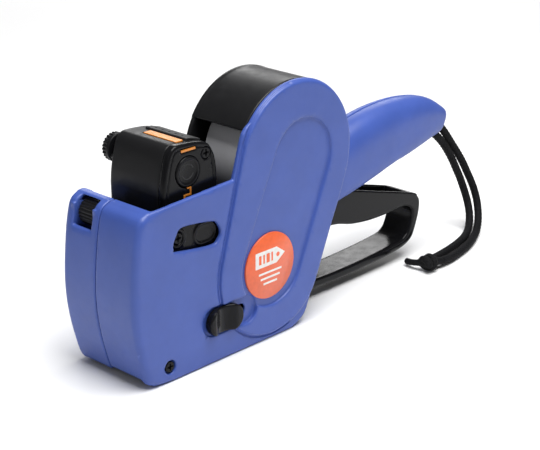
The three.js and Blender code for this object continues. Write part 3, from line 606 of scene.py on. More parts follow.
def casing_left():
    grid = Grid((-12.8, -PANEL_FACE, 0), (229, SEAM, 122), 0.5)
    shell = casing_shell(grid, True)
    panel = keep(grid.belt(DISC, PANEL_HEEL), grid.polygon(body_outline(True)) + 0.3, 2.0)
    panel = grid.prism(panel, -PANEL_FACE, -INNER - 0.6, 1.1)
    shell = join(shell, panel, 1.2)
    dish = grid.polygon(belt(RECESS_TOP, RECESS_LOW))
    shell = cut(shell, np.maximum(dish * 0.5, PANEL_FACE - RECESS_DEPTH + grid.y), 0.6)
    groove = np.maximum(np.abs(grid.belt(DISC, PANEL_HEEL)) - 0.6, grid.x - 84)
    shell = cut(shell, np.maximum(groove, SIDE - 0.5 + grid.y), 0.4)
    opening = grid.box(NOSE_OPENING["front"], NOSE_OPENING["back"], -NOSE_OPENING["half"], 4, -3, 4.2, 0.3)
    shell = cut(shell, opening, 0.3)
    shell = cut(shell, grid.prism(grid.latch_belt(**LATCH_HOLLOW), -34, -LATCH_FLOOR), 0.8)
    shell = cut(shell, grid.prism(grid.latch_belt(**LATCH_SLOT), -30, -20), 0.3)
    shell = cut(shell, grid.prism(grid.polygon(closed_curve(SIDE_SLOT)), -30, -20), 1.2)
    shell = fittings(grid, shell, -1)
    shell = cut(shell, grid.rod(*FRONT_SCREW, 3.3, -30, -SIDE + 2), 0.5)
    shell = cut(shell, grid.rod(*COVER_PIN, 1.4, -23.4, 4))
    shell = keep(shell, grid.y - (SEAM - HALF_GAP), 0.9)
    return sdf_piece("casing_left_shell", grid, shell)


def casing_right():
    grid = Grid((-12.8, SEAM, 0), (229, SIDE, 93), 0.5)
    shell = casing_shell(grid, False)
    for outline, shape in ((NOTCH_ENDS, join), (NOTCH, cut)):
        low, high = (BAY["right"], INNER + 0.5) if shape is join else (BAY["right"], 30)
        shell = shape(shell, grid.prism(grid.polygon(outline), low, high, 0.2), 0.4)
    shell = join(shell, grid.box(44, 46.2, BAY["right"], INNER + 0.5, 70, 83, 0.2), 0.3)
    shell = cut(shell, grid.box(-20, 3.2, *WINDOW, 68.4, 80.4, 0.5), 1.4)
    for y0, y1 in ((WINDOW[0] - 2, WINDOW[0]), (WINDOW[1], WINDOW[1] + 2)):
        shell = join(shell, grid.box(-8.6, 3, y0, y1, 66.5, 78, 0.3))
    shell = cut(shell, grid.rod(*DIAL[:2], 1.4, WINDOW[0] - 2.2, WINDOW[1] + 1.9))
    ear = grid.prism(grid.belt((*COVER_PIN, 3.2), (120, 82, 4.4)), BAY["right"], BAY["right"] + 2.6, 0.6)
    shell = join(shell, ear, 0.8)
    shell = fittings(grid, shell, 1)
    shell = cut(shell, grid.rod(*COVER_PIN, 1.4, 10, 17))
    shell = keep(shell, SEAM + HALF_GAP - grid.y, 0.9)
    return sdf_piece("casing_right_shell", grid, shell)


def base_door():
    grid = Grid((13, -DOOR_HALF, 0), (82, DOOR_HALF, 17), 0.45)
    door = grid.box(13, DOOR_PIN[0], -DOOR_HALF, DOOR_HALF, 0, 2.4, 0.4)
    for x in range(24, 65, 10):
        door = cut(door, grid.box(x - 0.6, x + 0.6, -15, 15, -1, 0.5, 0.3), 0.3)
    door = join(door, grid.rod(*DOOR_PIN, 2.4, -DOOR_HALF, DOOR_HALF, 0.3), 0.4)
    door = join(door, grid.box(54, 57, -DOOR_HALF, -DOOR_HALF + 2, 2.2, 17, 0.4), 0.5)
    door = cut(door, grid.rod(*DOOR_PIN, 1.35, -30, 30))
    return sdf_piece("bottom_cover_plate", grid, door)


def latch():
    grid = Grid((29, -27.5, 13.6), (51, -19.7, 26.8), 0.22)
    cap = grid.prism(grid.latch_belt(**LATCH_CAP), -LATCH_PROUD, -LATCH_FLOOR - 0.3, 1.0)
    scoop = np.sqrt((grid.x - 39.0) ** 2 + (grid.y + 32.9) ** 2) - 8
    cap = cut(cap, scoop + 0 * grid.z, 1.2)
    cap = join(cap, grid.box(37, 45, -23.5, -20.4, LATCH_Z - 2.1, LATCH_Z + 2.1))
    cap = join(cap, grid.box(33, 48, -INNER + 0.3, -19.8, LATCH_Z - 3.2, LATCH_Z + 3.2, 0.3))
    return sdf_piece("latch_button", grid, cap)


# Roll, its cover and the rollers ------------------------------------------------------------

def roll_cover():
    left, right = COVER_REACH
    grid = Grid((50, left, 85), (126, right, 122), 0.42)
    x, z, _ = DISC
    sector = grid.polygon(arc(x, z, 60, 0.22, 2.58, 40) + [(x, z)])
    radius = grid.circle(x, z, 0)
    band = keep(np.abs(radius - COVER_MIDDLE) - COVER_THICK / 2, sector)
    cover = grid.prism(band, left, right, 0.6)
    side = keep(grid.circle(x, z, COVER_MIDDLE + COVER_THICK / 2), COVER_HEM - grid.z + 0 * grid.x)
    side = keep(side, grid.x - COVER_BACK + 0 * grid.z)
    cover = join(cover, grid.prism(side, right - 2.2, right, 0.8), 1.0)
    cover = join(cover, grid.rod(*COVER_PIN, 2.7, left, right, 0.4), 0.6)
    cover = cut(cover, grid.rod(*COVER_PIN, 1.35, -30, 30))
    return sdf_piece("roll_cover_shell", grid, cover)


def barrel(y0, y1, r, edge, bore=0.0):
    """The profile of a turned drum with chamfered rims; with a bore it closes on itself."""
    profile = [(y0, bore), (y0, r - edge), (y0 + edge, r), (y1 - edge, r), (y1, r - edge), (y1, bore)]
    return profile + profile[:1] if bore else profile


def label_roll():
    return lathe("label_web_roll", barrel(*ROLL_REACH, ROLL_R, 0.25, ROLL_BORE), *DISC[:2], 160)


def ribbed(name, x, z, r, y0, y1, ribs, depth, bore, voxel=0.22):
    """A wheel on a bore, with rounded ribs round it."""
    grid = Grid((x - r, y0, z - r), (x + r, y1, z + r), voxel)
    angle = np.arctan2(grid.z - z, grid.x - x)
    ridge = np.abs(np.cos(angle * ribs / 2)) ** 0.6
    groove = depth * (1 - ridge) * smoothstep(y0 - 0.3, y0 + 0.3, grid.y + 0 * angle)
    wheel = grid.prism(grid.circle(x, z, r) + groove, y0, y1, 0.4)
    wheel = cut(wheel, grid.rod(x, z, bore, y0 - 2, y1 + 2))
    return sdf_piece(name, grid, wheel)


def applicator_roller():
    """The roller that presses the label down: a rubber sleeve turned into soft-edged rings."""
    (x, z, r), half = APPLICATOR, APPLICATOR_HALF
    pitch, deep, soft = 2.48, 1.1, 0.2
    profile = [(-half, 1.62)]
    y = -half
    while y < half - 1:
        top = y + pitch / 2
        profile += [(y, r - deep), (y, r - soft), (y + soft, r),
                    (top - soft, r), (top, r - soft), (top, r - deep)]
        y += pitch
    profile += [(half, r - deep), (half, 1.62), (-half, 1.62)]
    return lathe("applicator_rings", profile, x, z, 64)


def rounded_pin(node, look, body, slot=None):
    """A turned pin or drum with chamfered ends, sized from the CAD node that it stands for."""
    low, high = (np.array(corner) / MM + (BASE_MIDDLE, 0, 0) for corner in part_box(node))
    x, z = (low[0] + high[0]) / 2, (low[2] + high[2]) / 2
    r = (high[2] - low[2]) / 2
    piece = lathe(node + "_turned", barrel(low[1], high[1], r, min(0.25, r / 3)), x, z, 40)
    return finish_piece(piece, look, body, node, slot=slot)


def screw_piece(name, x, z, y, sign, length):
    """A cross-head screw; sign is the way its head faces along Y."""
    reach = sorted((y, y - sign * length))
    grid = Grid((x - 2.7, reach[0], z - 2.7), (x + 2.7, reach[1], z + 2.7), 0.14)
    head = grid.rod(x, z, 2.6, *sorted((y, y - sign * 1.6)), 0.45)
    body = join(head, grid.rod(x, z, 1.25, *sorted((y - sign * 1.5, y - sign * length)), 0.2))
    deep = sorted((y + sign, y - sign * 0.95))
    for half_x, half_z in ((1.7, 0.33), (0.33, 1.7)):
        body = cut(body, grid.box(x - half_x, x + half_x, *deep, z - half_z, z + half_z), 0.15)
    body = cut(body, grid.rod(x, z, 0.75, *deep), 0.2)
    return sdf_piece(name, grid, body)


# Print head ---------------------------------------------------------------------------------

HEAD_OUTLINE = [(16, 46), (38, 46), (41, 66), (43.7, 84), (42.8, 93.7), (40.8, 98.9), (37.7, 102.6),
                (31.5, 104.4), (20.9, 105.2), (17.6, 104.4), (15.4, 102.2), (13.7, 97.7), (11.9, 89.6),
                (11.2, 83.2), (11.4, 64)]
CAP_BACK = -14.2
CAP_SCREW = (36.8, 98.2)
CAP_BUTTON = (25.5, 92.3, 6.8)
POINTER = [(24.6, 84.6), (26.2, 84.6), (26.2, 82.4), (22.6, 82.4), (22.6, 78.5), (23.6, 78.5), (23.6, 81.4),
           (27.2, 81.4), (27.2, 85.3), (24.6, 85.3)]
BAND_WHEEL = (25.5, 91, 8.4)
BAND_NOSE = (26, 50.5, 4)
BANDS = [(-10.4 + 2.6 * i, -8.2 + 2.6 * i) for i in range(8)]
BAND_THICK = 1.4
HEAD_PIVOT = (108.5, 60)
DRIVE_PIN = (101.6, 48.5)


def head_curve():
    """The head's outline with its corners drawn through by a smooth curve above the foot."""
    return HEAD_OUTLINE[:3] + smooth_line(HEAD_OUTLINE[3:14], 5) + HEAD_OUTLINE[14:]


def head_housing():
    grid = Grid((9, CAP_BACK, 46), (44, HEAD_RIGHT, 106), 0.34)
    flat = grid.polygon(head_curve())
    body = grid.prism(flat, CAP_BACK + 0.35, HEAD_RIGHT, 1.6)
    body = join(body, grid.prism(flat, CAP_BACK, 0, 0.2))
    room = grid.prism(flat + 2.0, CAP_BACK - 4, HEAD_RIGHT - 2, 0.6)
    room = join(room, grid.box(18.5, 35.5, CAP_BACK - 4, HEAD_RIGHT - 2, 40, 50, 0.4))
    body = cut(body, room, 0.3)
    body = cut(body, grid.rod(*KNOB[:2], 1.6, 0, 20))
    body = cut(body, grid.rod(14.6, 93.8, 1.15, 15.2, 20))
    body = cut(body, grid.box(22.6, 27.4, -14, 7.5, 104.2, 110, 0.3), 0.3)
    return sdf_piece("head_housing_shell", grid, body)


def head_cap():
    grid = Grid((9.5, HEAD_LEFT, 46), (44, CAP_BACK, 106), 0.26)
    flat = grid.polygon(head_curve())
    cap = grid.prism(flat, HEAD_LEFT, CAP_BACK + 3, 1.3)
    cap = keep(cap, grid.y - (CAP_BACK - 0.08) + 0 * cap, 0.3)
    # A shallow step runs round the face just inside the edge.
    step = grid.prism(np.abs(flat + 2.2) - 0.3, HEAD_LEFT - 1, HEAD_LEFT + 0.3)
    cap = cut(cap, keep(step, 50 - grid.z), 0.35)
    x, z, r = CAP_BUTTON
    cap = cut(cap, grid.rod(x, z, r + 0.3, HEAD_LEFT - 3, HEAD_LEFT + 1.6), 0.5)
    cap = cut(cap, grid.rod(*CAP_SCREW, 2.9, HEAD_LEFT - 3, HEAD_LEFT + 1.8), 0.4)
    cap = cut(cap, grid.rod(*CAP_SCREW, 1.4, HEAD_LEFT, CAP_BACK + 1))
    cap = cut(cap, grid.box(21.7, 30.9, HEAD_LEFT - 3, HEAD_LEFT + 0.8, 101.1, 102.9, 0.3), 0.3)
    return sdf_piece("head_cap_shell", grid, cap)


def head_button():
    """The pressed-in end cap over the band drum: a raised rim round a shallow dish."""
    x, z, r = CAP_BUTTON
    y = HEAD_LEFT + 1.3
    profile = [(y, 0), (y, r - 0.3), (y - 0.3, r), (y - 1.45, r), (y - 1.75, r - 0.3), (y - 1.8, r - 0.8),
               (y - 1.75, r - 1.2), (y - 1.4, r - 1.5), (y - 1.25, r - 2.0), (y - 1.2, 0)]
    return lathe("head_button_disc", profile, x, z, 72, math.radians(60))


def head_button_marks():
    """Two moulded arcs in the dish of the button, in place of the maker's lettering."""
    x, z, _ = CAP_BUTTON
    grid = Grid((x - 4.6, -18.05, z - 4.6), (x + 4.6, -17.7, z + 4.6), 0.14)
    ring = np.abs(grid.circle(x, z, 3.4)) - 0.32
    marks = keep(grid.prism(ring, -18.05, -17.7, 0.1), 1.1 - np.abs(grid.z - z) + 0 * grid.x)
    return sdf_piece("head_button_arcs", grid, marks)


def head_frame_piece():
    grid = Grid((12.3, -21.3, 44), (114, 16.5, 74), 0.45)
    plate = grid.polygon([(12.3, 51), (48.6, 51), (48.6, 70), (36, 74), (12.3, 74)])
    piece = grid.prism(plate, -20.8, -18.5, 0.4)
    piece = join(piece, grid.box(45.8, 48.6, -20.8, 16.5, 52, 68, 0.4), 0.6)
    arm = join(grid.belt((48, 62, 6), (*HEAD_PIVOT, 5)),
               grid.belt((*DRIVE_PIN, 3.6), (104, 58, 5)), 2.0)
    piece = join(piece, grid.prism(arm, 13.7, 16.5, 0.4), 0.6)
    slot = grid.belt((DRIVE_PIN[0] - 2.6, DRIVE_PIN[1], 1.9), (DRIVE_PIN[0] + 1.6, DRIVE_PIN[1], 1.9))
    piece = cut(piece, grid.prism(slot, 10, 20), 0.3)
    piece = cut(piece, grid.rod(*HEAD_PIVOT, 2.6, 10, 20), 0.3)
    ridge = np.abs(grid.belt((30.5, 63.2, 4.6), (34.2, 63.2, 4.6))) - 0.7
    piece = join(piece, grid.prism(ridge, -21.3, -19, 0.25), 0.3)
    piece = join(piece, grid.prism(np.abs(grid.circle(*FRAME_SCREW, 3.9)) - 0.6, -21.3, -19, 0.25), 0.3)
    piece = cut(piece, grid.rod(*FRAME_SCREW, 1.4, -22, -18))
    piece = cut(piece, grid.rod(*FRAME_SCREW, 2.9, -22, -19.4), 0.2)
    return sdf_piece("head_frame_bracket", grid, piece)


def type_band(index):
    """One printing band: a rubber belt with raised type pads of plain bars."""
    y0, y1 = BANDS[index]
    grid = Grid((16.9, y0, 46.3), (34.1, y1, 99.6), 0.24)
    outer = grid.belt(BAND_WHEEL, BAND_NOSE)
    pads = smoothstep(-0.2, 0.25, np.sin(grid.z * 2 * math.pi / 3.2 + 0.9 * index))
    outer = outer + 0.45 * (1 - pads)
    inner = grid.belt(*((x, z, r - BAND_THICK) for x, z, r in (BAND_WHEEL, BAND_NOSE)))
    band = cut(grid.prism(outer, y0, y1, 0.2), grid.prism(inner, y0 - 2, y1 + 2))
    return sdf_piece("type_band_belt_%d" % (index + 1), grid, band)


def select_knob():
    """The selector knob: deep flutes round its grip and a dished face."""
    x, z, r = KNOB
    near, far = KNOB_REACH
    grid = Grid((x - r, near, z - r), (x + r, far, z + r), 0.2)
    angle = np.arctan2(grid.z - z, grid.x - x)
    flute = 0.5 * (0.5 - 0.5 * np.cos(angle * 24)) * smoothstep(near + 1.4, near + 2.0, grid.y)
    knob = grid.prism(grid.circle(x, z, r) + flute, near, far, 0.7)
    knob = cut(knob, grid.rod(x, z, 3.6, far - 0.7, far + 3, 0.3), 0.5)
    knob = cut(knob, grid.rod(x, z, 1.62, near - 2, far - 2))
    return sdf_piece("select_knob_grip", grid, knob)


def top_plate():
    grid = Grid((28.2, -14, 102.6), (37.4, 12, 105.9), 0.22)
    outline = [(28.4, 104.75), (31.5, 104.5), (37.2, 102.9), (37, 103.9), (31.6, 105.5), (28.8, 105.7)]
    plate = grid.prism(grid.polygon(outline), -14, 12, 0.3)
    for y in (-9.4, -5.2, -1.0, 3.2, 7.4):
        plate = cut(plate, grid.box(30.4, 36.2, y - 0.35, y + 0.35, 105.2, 110, 0.2), 0.4)
    return sdf_piece("top_plate_pad", grid, plate)


def slab(name, low, high, edge, voxel, outline=None):
    """A small plate between two corners, or of a side-view outline, with softened rims."""
    (x0, y0, z0), (x1, y1, z1) = low, high
    grid = Grid(low, high, voxel)
    flat = grid.polygon(outline or [(x0, z0), (x1, z0), (x1, z1), (x0, z1)])
    return sdf_piece(name, grid, grid.prism(flat, y0, y1, edge))


# Trigger lever ------------------------------------------------------------------------------

LEVER_OUTER = [(97, 11), (106, 7.2), (118.9, 5.2), (140.7, 4.2), (161.8, 4.8), (185.2, 6.4), (194.8, 9.2),
               (198.8, 14), (200.9, 22.7), (201.6, 30.1), (199.6, 33.8), (195.6, 36.4), (167.4, 44.4),
               (146.9, 50.2), (128, 54.6), (110, 54), (98, 50), (95.6, 40)]
LEVER_HOLE = [(108, 14), (119, 10.6), (140.7, 9.8), (161.8, 10.2), (184, 11.6), (191, 13.6), (194, 18),
              (195.8, 25), (194, 28.3), (189, 30.4), (182, 30.6), (175, 30), (161, 30.2), (147, 32),
              (132.6, 35.4), (114, 34.6)]
LEVER_CHANNEL = [(112, 70), (112, 41.6), (132.6, 38.6), (147, 35), (161, 33), (175, 32.6), (184, 33.1),
                 (190, 33.4), (196, 42), (196, 70)]
LEVER_HALF = 9.0


def closed_curve(points, steps=4):
    """A smooth closed outline through the points."""
    wrapped = smooth_line(points[-2:] + points + points[:2], steps)
    return wrapped[2 * steps:2 * steps + len(points) * steps]


def trigger_lever():
    grid = Grid((95.3, -LEVER_HALF, 3.9), (201.8, LEVER_HALF, 55), 0.42)
    outer = grid.polygon(closed_curve(LEVER_OUTER))
    hole = grid.polygon(closed_curve(LEVER_HOLE))
    lower = smoothstep(26, 14, grid.z)
    rim = 0.7 + 1.9 * lower
    lever = grid.prism(outer, -LEVER_HALF, LEVER_HALF, rim)
    lever = cut(lever, hole, 1.6)
    channel = grid.prism(grid.polygon(LEVER_CHANNEL), -LEVER_HALF + 1.8, LEVER_HALF - 1.8, 1.2)
    lever = cut(lever, channel, 0.5)
    lever = cut(lever, grid.rod(*LEVER_PIN, 2.65, -20, 20), 0.3)
    lever = cut(lever, grid.rod(*DRIVE_PIN, 1.6, 4, 20))
    return sdf_piece("trigger_lever_body", grid, lever)


# Dial, badge and spring ---------------------------------------------------------------------

BADGE = (69.9, 37.4, 16.0)
BADGE_FACE = -24.85
BADGE_BACK = -23.95
SPRING = {"x": 130.0, "low": 39.9, "high": 71.0, "r": 4.6, "wire": 0.7, "turns": 4}


def badge_disc():
    (x, z, r), face, back = BADGE, BADGE_FACE, BADGE_BACK
    profile = [(back, 0), (back, r), (face + 0.12, r), (face, r - 0.12), (face, 0)]
    return lathe("badge_disc", profile, x, z, 96, math.radians(60))


def badge_print():
    """A plain pictogram in place of the maker's print: a swing tag over three bars."""
    (x, z, _), face = BADGE, BADGE_FACE
    grid = Grid((x - 13, face - 0.05, z - 13), (x + 13, face + 0.3, z + 13), 0.13)
    outline = [(-9.5, 0.4), (4.2, 0.4), (9.6, 4.2), (4.2, 8.0), (-9.5, 8.0)]
    tag = grid.polygon([(x + along, z + up) for along, up in outline])
    marks = cut(tag - 0.2, grid.circle(x + 5.2, z + 4.2, 1.1))
    for low, high in ((-7.4, -5.8), (-4.6, -3.6), (-2.4, -0.4), (0.8, 1.8)):
        middle, half = x + (low + high) / 2, (high - low) / 2
        bar = np.maximum(np.abs(grid.x - middle) - half, np.abs(grid.z - (z + 4.2)) - 2.2)
        marks = cut(marks, bar)
    for row, half in ((-3.0, 7.6), (-5.6, 6.4), (-8.2, 4.6)):
        bar = np.maximum(np.abs(grid.x - x) - half, np.abs(grid.z - (z + row)) - 0.55)
        marks = join(marks, bar)
    return sdf_piece("badge_print", grid, grid.prism(marks, face - 0.05, face + 0.3))


def return_spring():
    turns, wire = SPRING["turns"], SPRING["wire"]
    low, high = SPRING["low"] + wire, SPRING["high"] - wire
    count = turns * 28
    points = []
    for i in range(count + 1):
        angle = 2 * math.pi * turns * i / count
        # The end turns lie flat and the middle ones are open.
        part = i / count
        rise = part - math.sin(2 * math.pi * part) / (2 * math.pi) * 0.55
        points.append((SPRING["x"] + SPRING["r"] * math.cos(angle), SPRING["r"] * math.sin(angle),
                       low + (high - low) * rise))
    return tube("spring_wire_coil", points, lambda s, a: wire, 10)


# Tubes and the wrist strap ------------------------------------------------------------------

STRAND_OUTER = [
    (227.5, 0, 65), (234, 0, 58), (240, 0, 51), (246, 0, 44), (251, 0, 37.5), (255, 0, 31.5),
    (258, -1, 25.5), (259.5, -2.5, 20), (259, -5, 14.5), (256.5, -8, 9.5), (252, -11.5, 5.5),
    (246, -15, 3.2), (239, -18.5, 2.4), (231, -22, 2.4), (222, -25, 2.4), (213, -27, 2.4),
    (204, -28.5, 2.6), (196, -29, 3.4),
]
STRAND_INNER = [
    (223, 0, 61), (228, 0, 57), (233, 0, 52), (237.5, 0, 46.5), (241.5, 0, 41), (245, 0, 35.5),
    (248.5, 0, 30), (251, -0.5, 24.5), (252.5, -1.5, 19.5), (252.5, -3.5, 14.5), (250.5, -6.5, 9),
    (246.5, -9.5, 5), (241, -12.5, 3), (234, -15.5, 2.4), (226, -18, 2.4), (217, -20, 2.4),
    (207, -22, 2.8), (197, -24, 3.6),
]
STRAP_BEND = 3.4
KNOT = (187, -27, 4.4)
BRAID_PITCH = 5.2


def tube(name, points, radius, sides):
    """A closed tube along the points; radius(s, a) gives its surface s mm along, at angle a."""
    line = np.array(points, float)
    steps = np.linalg.norm(np.diff(line, axis=0), axis=1)
    place = np.concatenate([[0], np.cumsum(steps)])
    ahead = np.gradient(line, axis=0)
    ahead /= np.linalg.norm(ahead, axis=1, keepdims=True)
    side = np.cross(ahead[0], (0.0, 1.0, 0.0) if abs(ahead[0][1]) < 0.9 else (1.0, 0.0, 0.0))
    rings, verts = [], []
    for at, forward, s in zip(line, ahead, place):
        side = side - forward * (side @ forward)
        side /= np.linalg.norm(side)
        up = np.cross(forward, side)
        ring = []
        for i in range(sides):
            angle = 2 * math.pi * i / sides
            out = side * math.cos(angle) + up * math.sin(angle)
            ring.append(len(verts))
            verts.append(at + out * radius(s, angle))
        rings.append(ring)
    faces = []
    for low, high in zip(rings, rings[1:]):
        for i in range(sides):
            j = (i + 1) % sides
            faces.append((low[i], low[j], high[j], high[i]))
    faces += [tuple(rings[0][::-1]), tuple(rings[-1])]
    mesh = bpy.data.meshes.new(name)
    mesh.from_pydata(to_metres(verts).tolist(), [], faces)
    mesh.validate()
    mesh.polygons.foreach_set("use_smooth", [len(face) == 4 for face in faces])
    mesh.update()
    return link(name, mesh)


def braid(s, angle, r=STRAP_R):
    """The surface of a round braid: strands crossing both ways under and over each other."""
    turn = 2 * math.pi * s / BRAID_PITCH
    weave = abs(math.sin(3 * angle + turn) * math.sin(3 * angle - turn))
    return r - 0.30 * (1 - weave ** 0.5)


def evenly(points, step):
    """The smooth curve through the points, cut into even steps."""
    fine = np.array(smooth_line(points, 12))
    place = np.concatenate([[0], np.cumsum(np.linalg.norm(np.diff(fine, axis=0), axis=1))])
    count = int(place[-1] / step)
    at = np.linspace(0, place[-1], count + 1)
    return np.array([np.interp(at, place, fine[:, i]) for i in range(3)]).T


def strap_strand(name, route):
    line = evenly(route, 0.45)
    piece = tube(name, line, braid, 36)
    path = to_metres(evenly(route, 1.5))
    length = float(np.linalg.norm(np.diff(path, axis=0), axis=1).sum())
    return piece, path, length


def strap_bight():
    across = np.array([-STRAP_OUT[1], 0, STRAP_OUT[0]])
    out = np.array([STRAP_OUT[0], 0, STRAP_OUT[1]])
    pin = np.array([STRAP_PIN[0], 0, STRAP_PIN[1]])
    turn = [pin + STRAP_BEND * (math.cos(a) * across - math.sin(a) * out)
            for a in (math.pi * i / 8 for i in range(9))]
    route = [STRAND_OUTER[0], pin + STRAP_BEND * across + 1.2 * out] + turn
    route += [pin - STRAP_BEND * across + 1.2 * out, STRAND_INNER[0]]
    return tube("strap_bight_braid", evenly(route, 0.5), braid, 36)


def rope_field(grid, points, r):
    """Signed distance to a rope laid along the points."""
    best = None
    for a, b in zip(points[:-1], points[1:]):
        a, b = np.array(a, float), np.array(b, float)
        ab = b - a
        t = ((grid.x - a[0]) * ab[0] + (grid.y - a[1]) * ab[1] + (grid.z - a[2]) * ab[2]) / (ab @ ab)
        t = np.clip(t, 0, 1)
        away = np.sqrt((grid.x - a[0] - t * ab[0]) ** 2 + (grid.y - a[1] - t * ab[1]) ** 2
                       + (grid.z - a[2] - t * ab[2]) ** 2) - r
        best = away if best is None else np.minimum(best, away)
    return best


def strap_knot():
    """An overhand knot: both strands run in, wrap once and a half and leave as a short tail."""
    x, y, z = KNOT
    grid = Grid((178.6, -33.5, 0), (198.5, -12, 9.2), 0.24)
    wrap = []
    for i in range(37):
        part = i / 36
        angle = -0.6 + 2 * math.pi * 1.55 * part
        wrap.append((x + 3.6 - 6.6 * part, y + 3.1 * math.cos(angle), z + 2.3 * math.sin(angle)))
    knot = rope_field(grid, wrap, 2.0)
    knot = join(knot, rope_field(grid, [STRAND_OUTER[-1], (192, -28.6, 4.2), (186, -27.4, 4.5)], 2.0), 0.7)
    knot = join(knot, rope_field(grid, [STRAND_INNER[-1], (193, -25, 4.2), (186, -26.6, 4.5)], 2.0), 0.7)
    tail = evenly([(x - 2, y + 1.5, z), (x - 2.6, y + 7.2, 3.3), (x - 2.2, y + 10.5, 2.6),
                   (x - 1.3, y + 13.9, 2.2)], 1.6)
    end = rope_field(grid, tail, 1.6)
    end = keep(end, grid.y - (y + 13.3) + 0 * end, 0.4)
    knot = join(knot, end, 1.0)
    grain = 0.14 * np.sin((grid.x + grid.y) * 2.6) * np.sin((grid.x - grid.y) * 2.6 + grid.z * 2.2)
    return sdf_piece("strap_knot_wraps", grid, knot + grain)


# Assembly -----------------------------------------------------------------------------------

# Made by a function of their own: look, body, the CAD nodes they replace.
PARTS = [
    (casing_left, "blue", "casing", "casing_left"),
    (casing_right, "blue", "casing", "casing_right"),
    (base_door, "blue", "bottom_cover", "bottom_cover"),
    (latch, "gloss", "latch", "latch_slider"),
    (badge_disc, "badge", "casing", "side_badge"),
    (badge_print, "badge_white", "casing"),
    (roll_cover, "satin", "roll_cover", "roll_cover"),
    (label_roll, "paper", "label_roll", "label_roll"),
    (applicator_roller, "rubber", "applicator_roller", "applicator_roller"),
    (head_frame_piece, "gloss", "print_head", "head_frame"),
    (head_housing, "satin", "print_head", "print_head_housing"),
    (head_cap, "gloss", "print_head", "print_head_cap"),
    (top_plate, "grey", "print_head", "top_plate"),
    (select_knob, "black", "knob", "select_knob"),
    (trigger_lever, "gloss", "trigger", "trigger_lever"),
    (strap_bight, "cord", "casing", "strap_bight"),
]
# Turned pieces: name, profile, axis, segments, look, body, node.
TURNED = [
    ("label_core_board", [(-20.6, 11.4), (-20.6, 12.75), (5.9, 12.75), (5.9, 11.4), (-20.6, 11.4)],
     DISC[:2], 96, "card", "label_roll", "label_core"),
    ("roll_spindle_hub", [(-21.3, 8.4), (-21.3, 11), (5.7, 11), (6.2, 10.5), (6.2, 8.4), (-21.3, 8.4)],
     DISC[:2], 96, "black", "casing", "roll_spindle"),
    ("roll_retainer_plate", [(-2, 0), (-2, 7.6), (-1.5, 8.1), (6.4, 8.1), (6.5, 16.5), (7, 17), (8.1, 17),
                             (8.6, 16.5), (8.6, 11.5), (8.0, 11), (8.0, 4), (8.6, 3.5), (8.6, 0)],
     DISC[:2], 96, "black", "casing", "roll_retainer"),
    ("ink_roller_felt", barrel(-14, 10, 5.4, 0.4, 1.42), INK_AXIS, 64, "felt", "ink_roller", "ink_roller"),
    ("guide_roller_barrel", [(-21.3, 0), (-21.3, 1.3), (-21.1, 1.5), (-18, 1.5), (-18, 3.6), (-17.6, 4),
                             (17.6, 4), (18, 3.6), (18, 1.5), (21.1, 1.5), (21.3, 1.3), (21.3, 0)],
     GUIDE_AXIS, 48, "black", "guide_roller", "guide_roller"),
]
# Ribbed wheels: name, axis and radius, reach, ribs, their depth, bore, voxel, body, node.
WHEELS = [
    ("position_dial_wheel", DIAL, DIAL_REACH, 22, 0.6, 1.32, 0.22, "dial", "position_dial"),
    ("feed_wheel_teeth", (*FEED_AXIS, 8), (-14, 10), 12, 1.3, 2.12, 0.3, "feed_wheel", "feed_wheel"),
]
# Small plates: name, two corners, edge, voxel, outline, look, body, node.
SLABS = [
    ("platen_pad", (PLATEN["front"], PLATEN["left"], PLATEN["low"]),
     (PLATEN["back"], PLATEN["right"], PLATEN["high"]), 0.6, 0.3, None, "rubber", "casing", "platen"),
    ("cap_window_lens", (22, HEAD_LEFT + 0.1, 101.4), (30.6, HEAD_LEFT + 0.5, 102.6), 0.2, 0.12, None,
     "amber", "print_head", "cap_window"),
    ("cap_pointer_mark", (22.6, HEAD_LEFT - 0.4, 78.5), (27.2, HEAD_LEFT, 85.3), 0.15, 0.12, POINTER,
     "amber", "print_head", "cap_pointer"),
    ("top_window_lens", (22.9, -13.7, 104.5), (27.1, 7.2, 105.4), 0.3, 0.15, None,
     "amber", "print_head", "top_window"),
]
# Cross-head screws: node, x, z, face, the way the head looks, length, body.
SCREWS = [("casing_screw_front", *FRONT_SCREW, -23.6, -1, 4, "casing")]
SCREWS += [(name, x, z, half + 1.9, 1, half + 6, "casing") for name, x, z, half in RIGHT_SCREWS]
SCREWS += [("frame_screw", *FRAME_SCREW, -21.3, -1, 2.6, "print_head"),
           ("cap_screw", *CAP_SCREW, HEAD_LEFT + 0.1, -1, 3.6, "print_head")]
# Pins, drums and shafts turned to the size of their CAD node: look, body, node, slot.
PINS = [("steel", "casing", name + "_pin", None)
        for name in ("bottom_cover", "roll_cover", "head_pivot", "trigger", "strap")]
PINS += [("steel", "casing", name, None)
         for name in ("dial_axle", "ink_axle", "feed_shaft", "applicator_axle")]
PINS += [("steel", "print_head", "print_anvil", None), ("black", "print_head", "band_drum", None),
         ("gloss", "print_head", "index_pin", "black_gloss"),
         ("steel", "selector", "selector_shaft", None), ("steel", "trigger", "drive_pin", None)]


